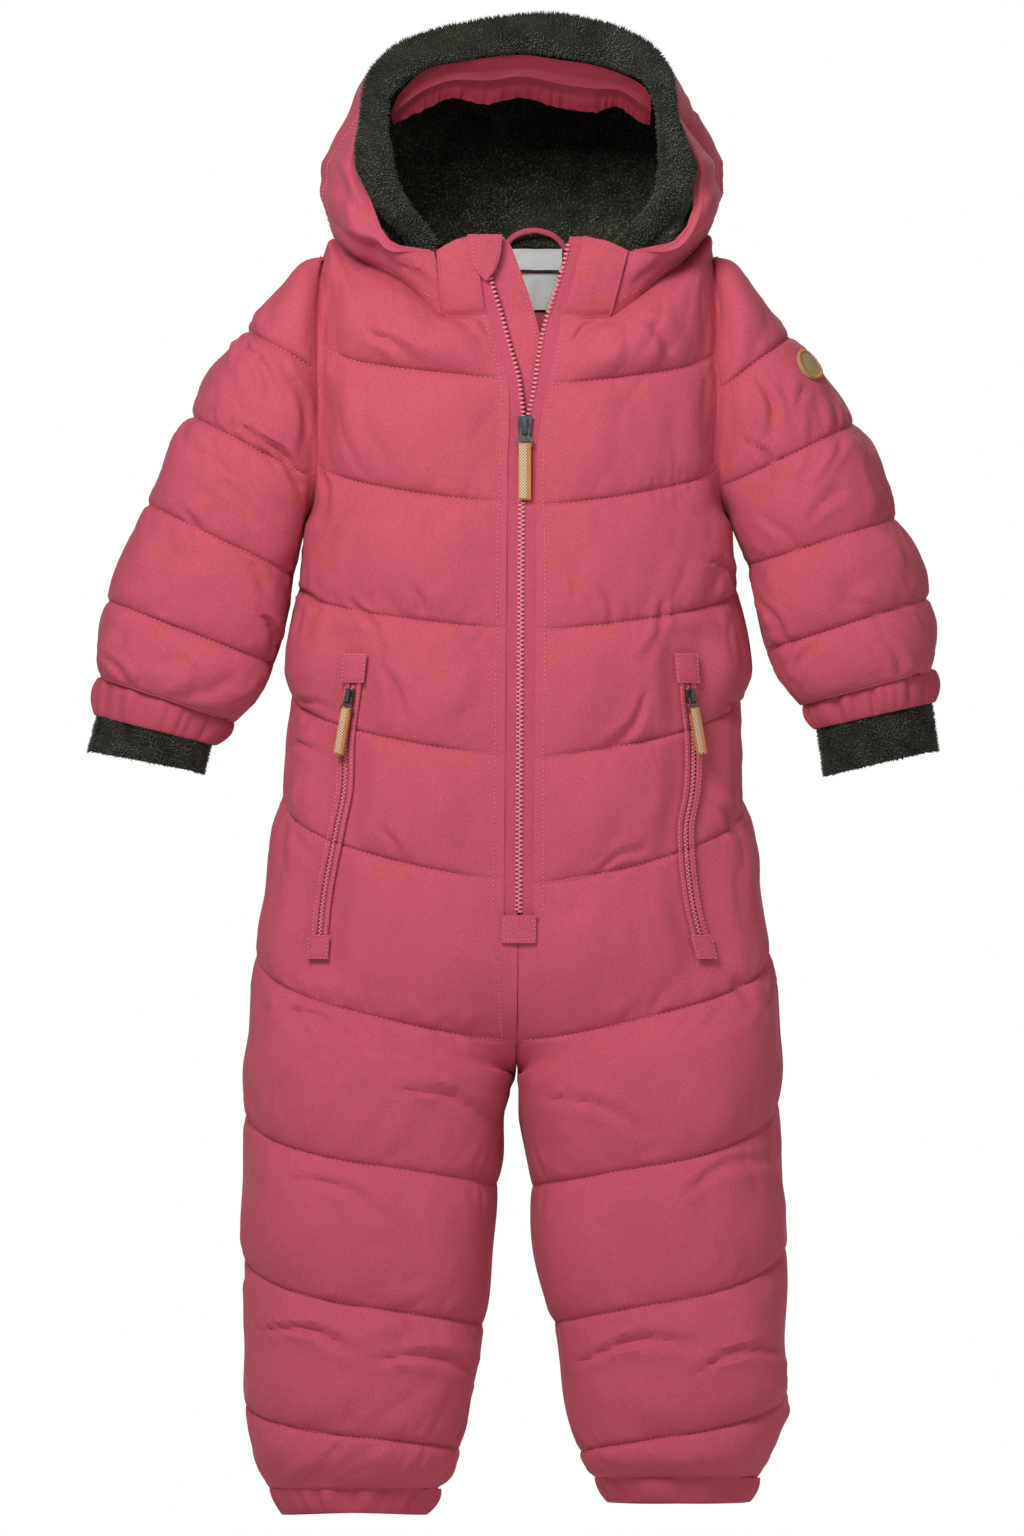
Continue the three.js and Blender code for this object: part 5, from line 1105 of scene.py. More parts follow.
for side, side_name in sides.items():
    casing, fleece = CUFFS[side][:2], CUFFS[side][2:]
    folds = gathers(RING_ANGLES, 300 + side, 3.6)
    folds_low = gathers(RING_ANGLES + 0.03, 300 + side, 3.0)

    def cuff_outer(share):
        swell = 1.9 * math.sin(math.pi * share) ** 0.6 - 2.4
        return cuff_loop(casing, share, RING_ANGLES,
                         swell + mix(folds, folds_low, share) * (0.55 + 0.45 * math.sin(math.pi * share)))

    def fleece_outer(share):
        soft_edge = -1.6 * (max(share - 0.8, 0) / 0.2) ** 2
        return cuff_loop(fleece, share, RING_ANGLES,
                         soft_edge + 0.8 * noise(RING_ANGLES * 4, RING_ANGLES * 0 + 3 * share, 320 + side))

    def hem_outer(share):
        swell = 1.6 * math.sin(math.pi * share) ** 0.6 - 1.2
        folds_here = gathers(RING_ANGLES, 340 + side, 3.0)
        return hem_loop(side, HEM_FOOT_DROP * share, RING_ANGLES,
                        swell + folds_here * (0.5 + 0.5 * math.sin(math.pi * share)))

    ring_piece(f"gathered_cuff_{side_name}", cuff_outer,
               lambda share: cuff_loop(casing, share, RING_ANGLES, -3.6),
               "trim", f"cuff_{side_name}")
    ring_piece(f"fleece_ring_{side_name}", fleece_outer,
               lambda share: cuff_loop(fleece, share, RING_ANGLES, -3.7),
               "fleece", f"fleece_cuff_{side_name}")
    ring_piece(f"gathered_hem_{side_name}", hem_outer,
               lambda share: hem_loop(side, HEM_FOOT_DROP * share, RING_ANGLES, -5.0),
               "trim", f"hem_{side_name}")

# Hood shells and chin pieces
HOOD_ROWS = refine(np.linspace(0, 1, 25), PARTS)
BACK_ACROSS = refine(np.linspace(-1, 1, 37), PARTS)
SIDE_ACROSS = refine(np.linspace(0, 1, 13), PARTS)


def hood_detail(point, seed, u, v):
    return (1.2 * noise(point[..., 0] / 55 + 9, point[..., 2] / 45, seed)
            + 0.5 * noise(point[..., 2] / 20, point[..., 1] / 24, seed + 1))


step, across = np.meshgrid(HOOD_ROWS, BACK_ACROSS, indexing="ij")
point = hood_back_base(step, across)
fade = soft(0, 0.06, step) * soft(1, 0.94, step) * soft(1, 0.94, np.abs(across))
lift = 1.2 * (np.abs(across) ** 0.5 < 0.99) * fade + hood_detail(point, 401, step, across) * fade
lift += hidden_creases(arc_lengths(point, 1), arc_lengths(point, 0), 405, 9, [380, 300]) * 0.8 * fade
inner = hood_back_at(step[::PARTS, ::PARTS], across[::PARTS, ::PARTS], HOOD_WALL)
outer = point + hood_out(point) * lift[..., None]
outer[..., 2] -= 3 * soft(120, 150, outer[..., 2])
inner[..., 2] -= 3 * soft(120, 150, inner[..., 2])
sewn_edges(outer, inner)
vertices, faces = wall(outer, inner, PARTS)
add_mesh("shell_hood_back", vertices, faces, looks["shell"], replaces=["hood_back"])

hood_sides = {}
for side, side_name in sides.items():
    step, v = np.meshgrid(HOOD_ROWS, SIDE_ACROSS, indexing="ij")
    point = hood_side_base(side, step, v)
    point[..., 1] -= 0.3 * (1 - v)
    fade = soft(0, 0.06, step) * soft(1, 0.95, step) * mix(soft(0, 0.08, v), 1, soft(0.84, 0.92, step))
    lift = (1.6 + hood_detail(point, 410 + side, step, v)) * fade * soft(1, 0.9, v)
    lift += crease_field(point, CREASES[f"hood_{side_name}"]) * fade * 0.8
    outer = point + hood_out(point) * np.maximum(lift, -0.6)[..., None]
    hood_sides[side] = outer
    inner = hood_side_at(side, step[::PARTS, ::PARTS], v[::PARTS, ::PARTS], HOOD_WALL)
    inner[..., 1] -= 0.3 * (1 - v[::PARTS, ::PARTS])
    sewn_edges(outer, inner)
    vertices, faces = wall(outer, inner, PARTS)
    add_mesh(f"shell_hood_side_{side_name}", vertices, faces, looks["shell"],
             replaces=[f"hood_side_{side_name}"])
    u, v = np.meshgrid(refine(np.linspace(0, 1, 9), PARTS), refine(np.linspace(0, 1, 9), PARTS),
                       indexing="ij")
    point = chin_base(side, u, v)
    swell = 1.6 * soft(0, 0.1, u) * soft(1, 0.9, u) * soft(0, 0.12, v)
    point[..., 1] -= swell * (1 + 0.6 * noise(u * 3, v * 2.5, 430 + side))
    inner = chin_base(side, u[::PARTS, ::PARTS], v[::PARTS, ::PARTS])
    inner[..., 1] += HOOD_WALL
    sewn_edges(point, inner, 0.35, "tbl")
    sewn_edges(point, inner, 0.1, "r")
    vertices, faces = wall(point, inner, PARTS)
    add_mesh(f"shell_chin_{side_name}", vertices, faces, looks["shell"],
             replaces=[f"chin_{side_name}"])


# Lofts: closed tubes with flat ends
def loft(sections):
    sections = np.asarray(sections, float)
    rows, count = sections.shape[:2]
    vertices = np.concatenate([sections.reshape(-1, 3), sections[[0, -1]].mean(axis=1)])
    faces = grid_faces(rows, count, 0, True).tolist()
    first, last = rows * count, rows * count + 1
    for j in range(count):
        k = (j + 1) % count
        faces.append((first, k, j))
        faces.append((last, (rows - 1) * count + j, (rows - 1) * count + k))
    a, b, c = (vertices[quad] for quad in grid_faces(rows, count, 0, True)[:, :3].T)
    centres = np.repeat(sections.mean(axis=1), count, axis=0)[:len(a)]
    if np.einsum("ij,ij->i", a - centres, np.cross(b - a, c - a)).sum() < 0:
        faces = [face[::-1] for face in faces]
    return vertices, faces


def grid_normals(points):
    du = np.gradient(points, axis=0)
    dv = np.gradient(points, axis=1)
    return unit(np.cross(du, dv))


# Repeated parts by Geometry Nodes
class Growth(Nodes):
    """A geometry tree with named inputs for its sizes."""

    def __init__(self, name, inputs):
        super().__init__(bpy.data.node_groups.new(name, "GeometryNodeTree"))
        face = self.tree.interface
        face.new_socket("Geometry", in_out="INPUT", socket_type="NodeSocketGeometry")
        face.new_socket("Geometry", in_out="OUTPUT", socket_type="NodeSocketGeometry")
        self.identifiers = {}
        for label, (kind, value) in inputs.items():
            item = face.new_socket(label, in_out="INPUT", socket_type=f"NodeSocket{kind}")
            item.default_value = value
            self.identifiers[label] = item.identifier
        self.given = self.node("NodeGroupInput").outputs

    def attribute(self, name):
        return self.node("GeometryNodeInputNamedAttribute", {"Name": name},
                         data_type="FLOAT_VECTOR").outputs["Attribute"]

    def vector(self, operation, first, second):
        return self.node("ShaderNodeVectorMath", {0: first, 1: second}, operation=operation).outputs["Vector"]

    def finish(self, points, instance, rotation, scale):
        placed = self.node("GeometryNodeInstanceOnPoints", {
            "Points": points, "Instance": instance, "Rotation": rotation,
            "Scale": scale}).outputs["Instances"]
        real = self.node("GeometryNodeRealizeInstances", {"Geometry": placed}).outputs["Geometry"]
        painted = self.node("GeometryNodeSetMaterial", {"Geometry": real, "Material": self.given["Look"]})
        self.node("NodeGroupOutput", {"Geometry": painted.outputs["Geometry"]})

    def grow(self, name, source, values, look, slot, body="suit", with_smooth=True):
        modifier = source.modifiers.new(name, "NODES")
        modifier.node_group = self.tree
        for label, value in {**values, "Look": looks[look]}.items():
            modifier[self.identifiers[label]] = value
        graph = bpy.context.evaluated_depsgraph_get()
        mesh = bpy.data.meshes.new_from_object(source.evaluated_get(graph), depsgraph=graph)
        bpy.data.objects.remove(source)
        mesh.name = name
        mesh.polygons.foreach_set("use_smooth", [with_smooth] * len(mesh.polygons))
        obj = bpy.data.objects.new(name, mesh)
        scene.collection.objects.link(obj)
        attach(obj, body)
        return obj


def guide(vertices, faces, **vectors):
    """A bare mesh with a vector for each point, for a geometry tree to read."""
    mesh = bpy.data.meshes.new("guide")
    mesh.from_pydata((settle(vertices) * MM).tolist(), [], faces)
    for name, values in vectors.items():
        made = mesh.attributes.new(name, "FLOAT_VECTOR", "POINT")
        made.data.foreach_set("vector", np.asarray(values, float).ravel())
    obj = bpy.data.objects.new("guide", mesh)
    scene.collection.objects.link(obj)
    return obj


LENGTH = ("Float", 0.003)
MATERIAL = ("Material", None)


def pile_growth():
    """Leaning pointed tufts spread over a surface."""
    tree = Growth("pile", {"Density": ("Float", 1e5), "Seed": ("Int", 1), "Length": LENGTH, "Width": LENGTH,
                           "Spread": ("Float", 0.4), "Look": MATERIAL})
    given = tree.given
    spread = tree.node("GeometryNodeDistributePointsOnFaces", {
        "Mesh": given["Geometry"], "Density": given["Density"], "Seed": given["Seed"]})
    loose = tree.node("FunctionNodeRandomValue",
                      {"Min": (-1, -1, -1), "Max": (1, 1, 1), "Seed": given["Seed"]},
                      data_type="FLOAT_VECTOR").outputs["Value"]
    scaled = tree.node("ShaderNodeVectorMath", {0: loose, "Scale": given["Spread"]},
                       operation="SCALE").outputs["Vector"]
    lean = tree.vector("ADD", spread.outputs["Normal"], tree.attribute("comb"))
    way = tree.vector("ADD", lean, scaled)
    turn = tree.node("FunctionNodeAlignRotationToVector", {"Vector": way}, axis="Z").outputs["Rotation"]
    tall = tree.node("FunctionNodeRandomValue", {2: 0.55, 3: 1.2, "Seed": given["Seed"]},
                     data_type="FLOAT").outputs[1]
    tuft = tree.node("GeometryNodeMeshCone", {
        "Vertices": 3, "Radius Top": 0.0, "Radius Bottom": given["Width"], "Depth": given["Length"]})
    tree.finish(spread.outputs["Points"], tuft.outputs["Mesh"], turn, tall)
    return tree


def row_growth(name, instance_of):
    """Small parts laid on points, lengthwise along the row and facing out."""
    tree = Growth(name, {"Length": LENGTH, "Width": LENGTH, "Height": LENGTH, "Look": MATERIAL})
    turn = tree.node("FunctionNodeAxesToRotation",
                     {"Primary Axis": tree.attribute("out"), "Secondary Axis": tree.attribute("along")},
                     primary_axis="Z", secondary_axis="X").outputs["Rotation"]
    size = tree.node("ShaderNodeCombineXYZ", {
        "X": tree.given["Length"], "Y": tree.given["Width"], "Z": tree.given["Height"]}).outputs["Vector"]
    tree.finish(tree.given["Geometry"], instance_of(tree), turn, size)
    return tree


def thread_shape(tree):
    return tree.node("GeometryNodeMeshUVSphere", {"Segments": 4, "Rings": 3, "Radius": 0.5}).outputs["Mesh"]


def tooth_shape(tree):
    made = tree.node("GeometryNodeMeshCone", {
        "Vertices": 4, "Radius Top": 0.5, "Radius Bottom": 0.7, "Depth": 1.0}).outputs["Mesh"]
    return tree.node("GeometryNodeTransform", {
        "Geometry": made, "Translation": (0, 0, -0.5), "Rotation": (0, 0, math.pi / 4)}).outputs["Geometry"]


pile_tree = pile_growth()
stitch_tree = row_growth("stitches", thread_shape)
teeth_tree = row_growth("teeth", tooth_shape)


def pile_piece(name, grid, outward, comb, density, length, width, seed, spread=0.4, closed=False,
               look="pile"):
    """Pile on a grid of points. outward gives the side that it grows to."""
    rows, columns = grid.shape[:2]
    quads = grid_faces(rows, columns, 0, closed)
    points = grid.reshape(-1, 3)
    a, b, c = (points[quads[:, k]] for k in range(3))
    facing = np.einsum("ij,ij->i", np.cross(b - a, c - a), outward(a)).sum()
    if facing < 0:
        quads = quads[:, ::-1]
    source = guide(points, quads.tolist(), comb=comb(points))
    values = {"Density": float(density), "Seed": seed, "Length": length * MM, "Width": width * MM,
              "Spread": spread}
    return pile_tree.grow(name, source, values, look, "fleece")


# Fleece roll round the face
ROLL_SECTIONS = 190
ROLL_SIDES = 28
key = np.linspace(0, 1, ROLL_SECTIONS) * (len(ROLL) - 1)
roll_outer = stack(column_x(read(ROLL, 1, key)), 0 * key, row_z(read(ROLL, 2, key)))
roll_inner = stack(column_x(read(ROLL, 3, key)), 0 * key, row_z(read(ROLL, 4, key)))
centre = (roll_outer + roll_inner) / 2
centre[:, 1] = read(ROLL, 5, key)
reach = (roll_outer - roll_inner) / 2
ends = soft(0, 0.15, np.minimum(key, key.max() - key) / key.max())
thick = 7.5 * (0.8 + 0.2 * ends)
angle = np.arange(ROLL_SIDES) / ROLL_SIDES * 2 * math.pi
ring = centre[:, None] + reach[:, None] * np.cos(angle)[None, :, None]
ring[..., 1] += thick[:, None] * np.sin(angle)
around = np.linalg.norm(reach, axis=1)
inset = 1.4 - 0.7 * noise(key[:, None] * 2.1, np.cos(angle)[None] * 1.5 + np.sin(angle)[None], 500)
shrink = 1 - inset / np.maximum(around, 6)[:, None]
roll_points = centre[:, None] + (ring - centre[:, None]) * shrink[..., None]
vertices, faces = loft(roll_points)
add_mesh("fleece_roll", vertices, faces, looks["fleece"], replaces=["hood_band"])
ROLL_CENTRE = centre.copy()


def from_roll(root):
    near = np.argmin(np.linalg.norm(root[:, None, ::2] - ROLL_CENTRE[None, :, ::2], axis=2), axis=1)
    return root - ROLL_CENTRE[near]


def roll_comb(root):
    swirl = stack(noise(root[:, 0] / 18, root[:, 2] / 18, 502), 0 * root[:, 0],
                  noise(root[:, 0] / 18, root[:, 2] / 18, 503))
    return stack(root[:, 0] / 150, -0.15 + 0 * root[:, 0], (root[:, 2] - 70) / 110) * 0.55 + 0.5 * swirl


pile_piece("fleece_roll_pile", roll_points, from_roll, roll_comb, 9.0e5, 2.5, 0.5, 504, closed=True)

# Fleece inside the hood
step, across = np.meshgrid(np.linspace(0.03, 0.98, 50), np.linspace(-1.84, 1.84, 120), indexing="ij")
outside = lining_at(step, across, HOOD_WALL + 1.2)
lining = lining_at(step, across, HOOD_WALL + 1.2 + LINING_WALL)
vertices, faces = wall(outside, lining, 1)
add_mesh("hood_lining_cloth", vertices, faces, looks["fleece"], replaces=["hood_lining"])
HEAD_CENTRE = np.array([0, -10, 50.0])


def lining_comb(root):
    side_way = 0.5 * noise(root[:, 0] / 22, root[:, 2] / 22, 512)
    return stack(side_way, 0 * root[:, 0], -0.5 + 0.4 * noise(root[:, 0] / 25, root[:, 2] / 20, 513))


pile_piece("hood_lining_pile", lining, lambda place: HEAD_CENTRE - place, lining_comb, 4.5e5, 2.4, 0.55, 514,
           look="lining_pile")

# Pile of the cuffs
for side, side_name in sides.items():
    angle = np.linspace(0, 2 * math.pi, 120, endpoint=False)
    rows = np.stack([cuff_loop(CUFFS[side][2:], share, angle, -0.4 * share)
                     for share in np.linspace(0.2, 1.0, 20)])
    axis = rows.mean(axis=(0, 1))

    def cuff_comb(root):
        return stack(0.4 * noise(root[:, 0] / 7, root[:, 1] / 9, 523), 0 * root[:, 0],
                     -0.55 + 0.4 * noise(root[:, 2] / 7, root[:, 0] / 9, 524))

    pile_piece(f"fleece_cuff_pile_{side_name}", rows, lambda place: (place - axis) * [1, 1, 0.0], cuff_comb,
               1.4e6, 2.5, 0.5, 526 + side, closed=True)

# Inner hood strip: folded upper part, gathered lower edge
u, v = np.meshgrid(refine(np.linspace(0, 1, 13), PARTS), refine(np.linspace(0, 1, 71), PARTS), indexing="ij")


def strip_point(u, v, thick_mm):
    key = v * (len(STRIP) - 1)
    top = stack(column_x(read(STRIP, 1, key)), 0 * key, row_z(read(STRIP, 2, key)))
    foot = stack(column_x(read(STRIP, 3, key)), 0 * key, row_z(read(STRIP, 4, key)))
    point = mix(top, foot, u[..., None])
    end_fade = soft(0, 0.12, np.minimum(v, 1 - v))
    folds = np.abs(noise(v * 34, u * 0.8, 530)) * 1.9 - 0.5 + 0.5 * noise(v * 70, u * 2, 531)
    gather = 1.5 * soft(0.45, 0.95, u) * folds * end_fade
    crease = 0.8 * noise(v * 9, u * 3, 532) * soft(0, 0.1, u)
    fold = -3 * np.maximum(1 - np.abs(u - 0.5) / 0.2, 0) ** 1.2
    point[..., 1] = -55.9 + 13 * u + fold + (thick_mm if thick_mm else gather + crease)
    point[..., 2] += (1.1 * soft(0.85, 1, u) * noise(v * 40, u * 0 + 2, 533)
                      * end_fade * (0 if thick_mm else 1))
    return point


# Its cloth colour is darkened coral: painted shade.
vertices, faces = wall(strip_point(u, v, 0), strip_point(u[::PARTS, ::PARTS], v[::PARTS, ::PARTS], 3.2),
                       PARTS)
add_mesh("gathered_strip", vertices, faces, looks["strip"], replaces=["hood_strip"])

# Front zip: tapes and teeth
ZIP_TOP_Z = 16
ZIP_LOW_Z = -418
TAPE_THICK = 1.1
TOOTH_PITCH = 2.8


def chain_x(side, z):
    return read(CHAIN, side_column(side), z)


def row_piece(name, tree, places, size, look, slot, body="suit"):
    """Parts of one row tree on places, each (point, direction along, direction out)."""
    points, along, out = (np.array([place[k] for place in places]) for k in range(3))
    source = guide(points, [], along=along, out=out)
    values = dict(zip(("Length", "Width", "Height"), (number * MM for number in size)))
    return tree.grow(name, source, values, look, slot, body)


FRONT = np.array([0, -1.0, 0])
for side, side_name in sides.items():
    z = np.linspace(ZIP_TOP_Z, ZIP_LOW_Z, 170)
    edge = side * (zip_edge(side, z) + 1.8)
    chain = chain_x(side, z) + side * 0.5
    y = zip_front(z)
    ripple = 0.25 * noise(z / 13, 0 * z, 540 + side)
    sections = np.stack([stack(edge, y, z), stack(mix(edge, chain, 0.5), y - 0.25 + ripple, z),
                         stack(chain, y, z),
                         stack(chain, y + TAPE_THICK, z), stack(edge, y + TAPE_THICK, z)], axis=1)
    vertices, faces = loft(sections)
    add_mesh(f"zip_tape_{side_name}", vertices, faces, looks["tape"],
             replaces=[f"zip_{side_name}"])
    items = []
    shift = 0 if side < 0 else TOOTH_PITCH / 2
    for z in np.arange(ZIP_TOP_Z - 4 - shift, ZIP_LOW_Z + 8, -TOOTH_PITCH):
        x, y = float(chain_x(side, z)), float(zip_front(z)) + TAPE_THICK / 2
        lower = float(chain_x(side, z - 2))
        along = unit(np.array([lower - x, 0, -2.0]))
        items.append((np.array([x + side * 0.7, y - 0.3, z]), along, FRONT))
    row_piece(f"zip_teeth_{side_name}", teeth_tree, items, (1.6, 3.5, 3.4), "teeth", "zip_tape")


# Places on the front panels under a point of the front view
def calm_outer(side, u, v):
    point, out = body_base(side, -1, u, v)
    height = body_puff(side, -1, u, v, point)
    return keep_inside(side, point + out * height[..., None]), out


def front_place(side, x, z):
    x, z = np.asarray(x, float), np.asarray(z, float)

    def across_at(u):
        low, high = np.full_like(x, 0.02), np.full_like(x, 0.98)
        for _ in range(14):
            v = (low + high) / 2
            nearer = calm_outer(side, u, v)[0][..., 0] * side < x * side
            low, high = np.where(nearer, v, low), np.where(nearer, high, v)
        return (low + high) / 2

    upper, lower = np.ones_like(x), np.full_like(x, LAST_LINE)
    for _ in range(14):
        u = (upper + lower) / 2
        above = calm_outer(side, u, across_at(u))[0][..., 2] > z
        upper, lower = np.where(above, u, upper), np.where(above, lower, u)
    u = (upper + lower) / 2
    return calm_outer(side, u, across_at(u))


def pocket_line(side, rows, across, lift):
    rows = np.asarray(rows, float)
    x = column_x(read(POCKETS, side_column(side), rows)) + across
    point, out = front_place(side, x, row_z(rows))
    return point + out * (lift + 0 * rows)[..., None], out


for side, side_name in sides.items():
    rows = np.arange(687, 936, 1.6 / PICTURE_MM / 1.3)
    middle, out = pocket_line(side, rows, 0 * rows, 2.7)
    along = unit(np.gradient(middle, axis=0))
    items = []
    for number, (place, way, normal) in enumerate(zip(middle, along, out)):
        offset = np.cross(way, normal) * (0.55 if number % 2 else -0.55)
        items.append((place + offset, way, normal))
    row_piece(f"pocket_teeth_{side_name}", teeth_tree, items, (1.0, 1.7, 1.3), "teeth", "zip_tape")


# Stitches
STITCH = (2.3, 0.62, 0.62)


def stitch_items(points, normals, pitch=3.3, lift=0.35):
    points = np.asarray(points, float)
    normals = np.broadcast_to(np.asarray(normals, float), points.shape)
    length = np.concatenate([[0], np.cumsum(np.linalg.norm(np.diff(points, axis=0), axis=1))])
    middles = np.arange(pitch / 2, length[-1], pitch)

    def at(values, where):
        return np.stack([np.interp(where, length, values[:, k]) for k in range(3)], axis=1)

    along = unit(at(points, middles + 0.5) - at(points, middles - 0.5))
    normal = unit(at(normals, middles))
    return list(zip(at(points, middles) + normal * lift, along, normal))


quilt, edges = [], []
for side, side_name in sides.items():
    for face in (-1, 1):
        grid = panels[side, face]
        normals = grid_normals(grid)
        middle = grid.mean(axis=(0, 1))
        outward = np.einsum("ijk,ijk->ij", normals, grid - middle * [1, 0, 1])
        normals = normals * (np.sign(outward.sum()) or 1)
        for line in range(1, LAST_LINE):
            row = line * BAND_STEPS * PARTS
            normal = unit(normals[row - 2] + normals[row + 2])
            quilt += stitch_items(grid[row, 1:-1], normal[1:-1], lift=0.55)
        if face < 0:
            beside = (grid[:, 2, 2] < 12) & (grid[:, 2, 2] > -409)
            edges += stitch_items(grid[beside, 2], normals[beside, 2], pitch=2.9)
            if side < 0:
                centre_seam = (grid[:, 3, 2] < -430) & (grid[:, 3, 2] > -492)
                edges += stitch_items(grid[centre_seam, 3], normals[centre_seam, 3], pitch=2.9)
    grid = sleeves[side]
    normals = grid_normals(grid)
    place, out = sleeve_base(side, np.array([2.5]), np.array([0.25]))
    at = normals[int(2.5 * 7 * PARTS), 30]
    normals = normals * (1 if float(at @ out[0]) > 0 else -1)
    for line in range(1, 5):
        row = line * 7 * PARTS
        normal = unit(normals[row - 2] + normals[row + 2])
        quilt += stitch_items(grid[row, 1:-1], normal[1:-1], lift=0.55)
    step = np.linspace(0.03, 0.97, 90)
    seam = hood_back_base(step, np.full_like(step, 0.965 * side))
    edges += stitch_items(seam, hood_out(seam), pitch=2.9, lift=1.3)
    v = np.linspace(0.04, 0.96, 60)
    neck = hood_side_base(side, np.full_like(v, 0.985), v)
    edges += stitch_items(neck, hood_out(neck), pitch=2.9, lift=0.5)
    # pocket frame, its top box and its foot box
    rows = np.linspace(657, 955, 90)
    for across in (-4.3, 4.3):
        line, out = pocket_line(side, rows, across + 0 * rows, 3.1)
        edges += stitch_items(line, out, pitch=2.6)
    for top, foot, half, lift in ((655, 682, 6.2, 4.7), (936, 958, 5.7, 4.6)):
        corners = [(-half, top), (half, top), (half, foot), (-half, foot), (-half, top)]
        for (x0, r0), (x1, r1) in zip(corners[:-1], corners[1:]):
            t = np.linspace(0, 1, 12)
            line, out = pocket_line(side, mix(r0, r1, t), mix(x0, x1, t), lift)
            edges += stitch_items(line, out, pitch=2.6, lift=0.1)


# Small cloth parts over their solids
def pad(name, front, back, look, node):
    vertices, faces = wall(front, back, 1)
    return add_mesh(name, vertices, faces, looks[look], replaces=[node])


def pocket_strip(name, side, first, last, low_across, high_across, low, high, look, node):
    rows, t = np.meshgrid(np.linspace(first, last, max(int((last - first) / 3), 8)), np.linspace(0, 1, 9),
                          indexing="ij")
    edge = soft(0, 0.16, t) * soft(1, 0.84, t)
    ends = soft(first, first + 2, rows) * soft(last, last - 2, rows)
    across = mix(low_across, high_across, t)
    swell = 0.25 * noise(rows / 14, t * 1.5, int(first) + 3 * side) * edge * ends
    front, _ = pocket_line(side, rows, across, mix(high - 0.7, high + 0.15, edge * ends) + swell)
    back, _ = pocket_line(side, rows, across, low + 0 * rows)
    pad(name, front, back, look, node)


for side, side_name in sides.items():
    pocket_strip(f"welt_inner_{side_name}", side, 656, 956, -side * 5, -side * 1.8, 1.6, 3.0, "shell",
                 f"pocket_lip_inner_{side_name}")
    pocket_strip(f"welt_outer_{side_name}", side, 656, 956, side * 1.8, side * 5, 1.6, 3.0, "shell",
                 f"pocket_lip_outer_{side_name}")
    pocket_strip(f"pocket_tape_{side_name}", side, 672, 935, -side * 1.55, side * 1.55, 1.6, 2.4, "tape",
                 f"pocket_zip_{side_name}")
    pocket_strip(f"pocket_top_{side_name}", side, 653, 683, -7, 7, 3.5, 4.6, "shell",
                 f"pocket_garage_{side_name}")
    pocket_strip(f"pocket_end_{side_name}", side, 935, 959, -6.5, 6.5, 3.6, 4.5, "shell",
                 f"pocket_foot_{side_name}")

# Stitched box under the zip
t, z = np.meshgrid(np.linspace(-1, 1, 21), np.linspace(-411.5, -429, 17), indexing="xy")
reach = np.where(z > -413, 11.5, 11.0)
y = -body_depth(-1, z) - SEAM_GAP - 3
front = stack(t * reach + 0.6, y - mix(1.1, 0.7, np.abs(t)) + 0.5 * soft(0.9, 1, np.abs(t)), z)
back = stack(t * reach + 0.6, y + mix(0.5, 0.9, np.abs(t)), z)
pad("zip_end_box", front, back, "shell", "zip_box")
for x_line, z_line in (((-9.6, 10.8), (-414, -414)), ((10.8, 10.8), (-414, -427)),
                       ((10.8, -9.6), (-427, -427)),
                       ((-9.6, -9.6), (-427, -414)), ((-9.6, 10.8), (-414, -427)),
                       ((-9.6, 10.8), (-427, -414))):
    x, z = mix(x_line[0], x_line[1], np.linspace(0, 1, 9)), mix(z_line[0], z_line[1], np.linspace(0, 1, 9))
    y = -body_depth(-1, z) - SEAM_GAP - 3 - mix(1.1, 0.7, np.abs(x - 0.6) / 11)
    edges += stitch_items(stack(x, y, z), FRONT, pitch=2.6, lift=0.15)

# Underlap behind the open zip
UNDERLAP = [[17, -27, -10], [8, -27, -3.5], [-50, -16, 14.5], [-90, -9, 13], [-130, -9, 12], [-411, -9, 10]]
t, z = np.meshgrid(np.linspace(0, 1, 15), np.linspace(16, ZIP_LOW_Z, 140), indexing="xy")
x = mix(read(UNDERLAP, 1, z), read(UNDERLAP, 2, z), t)
y = zip_front(z) + 3.4 - 0.5 * np.sin(math.pi * t) * soft(-90, -40, z) + 0.25 * noise(z / 24, t * 2, 600)
pad("zip_underlap", stack(x, y, z), stack(x, zip_front(z) + 4.7, z), "shell", "underlap")
open_edge = np.linspace(6, -96, 50)
x = read(UNDERLAP, 2, open_edge) - 2.2
edges += stitch_items(stack(x, zip_front(open_edge) + 3.1, open_edge), FRONT, pitch=2.6)

# Chin guard over the top of the right teeth
CHIN_GUARD = [[17.5, -32, -10], [6, -30.5, -11], [-4, -27.5, -14], [-11.5, -22.7, -17.6]]
t, z = np.meshgrid(np.linspace(0, 1, 19), np.linspace(17.5, -11.5, 25), indexing="xy")
tongue = np.sqrt(np.maximum(1 - clip01((-3 - z) / 8.6) ** 2, 0))
low, high = read(CHIN_GUARD, 1, z), read(CHIN_GUARD, 2, z)
low, high = mix((low + high) / 2, low, mix(0.25, 1, tongue)), mix((low + high) / 2, high,
                                                                  mix(0.25, 1, tongue))
x = mix(low, high, t)
y = zip_front(z) - 3.9
rounded = soft(0, 0.14, t) * soft(1, 0.86, t)
front = stack(x, y - 1.1 * rounded * np.sin(math.pi * t) ** 0.5 - 0.4 * noise(z / 9, t * 3, 610) * rounded, z)
pad("zip_chin_guard", front, stack(x, y + 1.8, z), "shell", "chin_guard")
for share in (0.12, 0.88):
    line = np.linspace(15, -7, 20)
    x = mix(read(CHIN_GUARD, 1, line), read(CHIN_GUARD, 2, line), share)
    edges += stitch_items(stack(x, zip_front(line) - 4.6, line), FRONT, pitch=2.6)

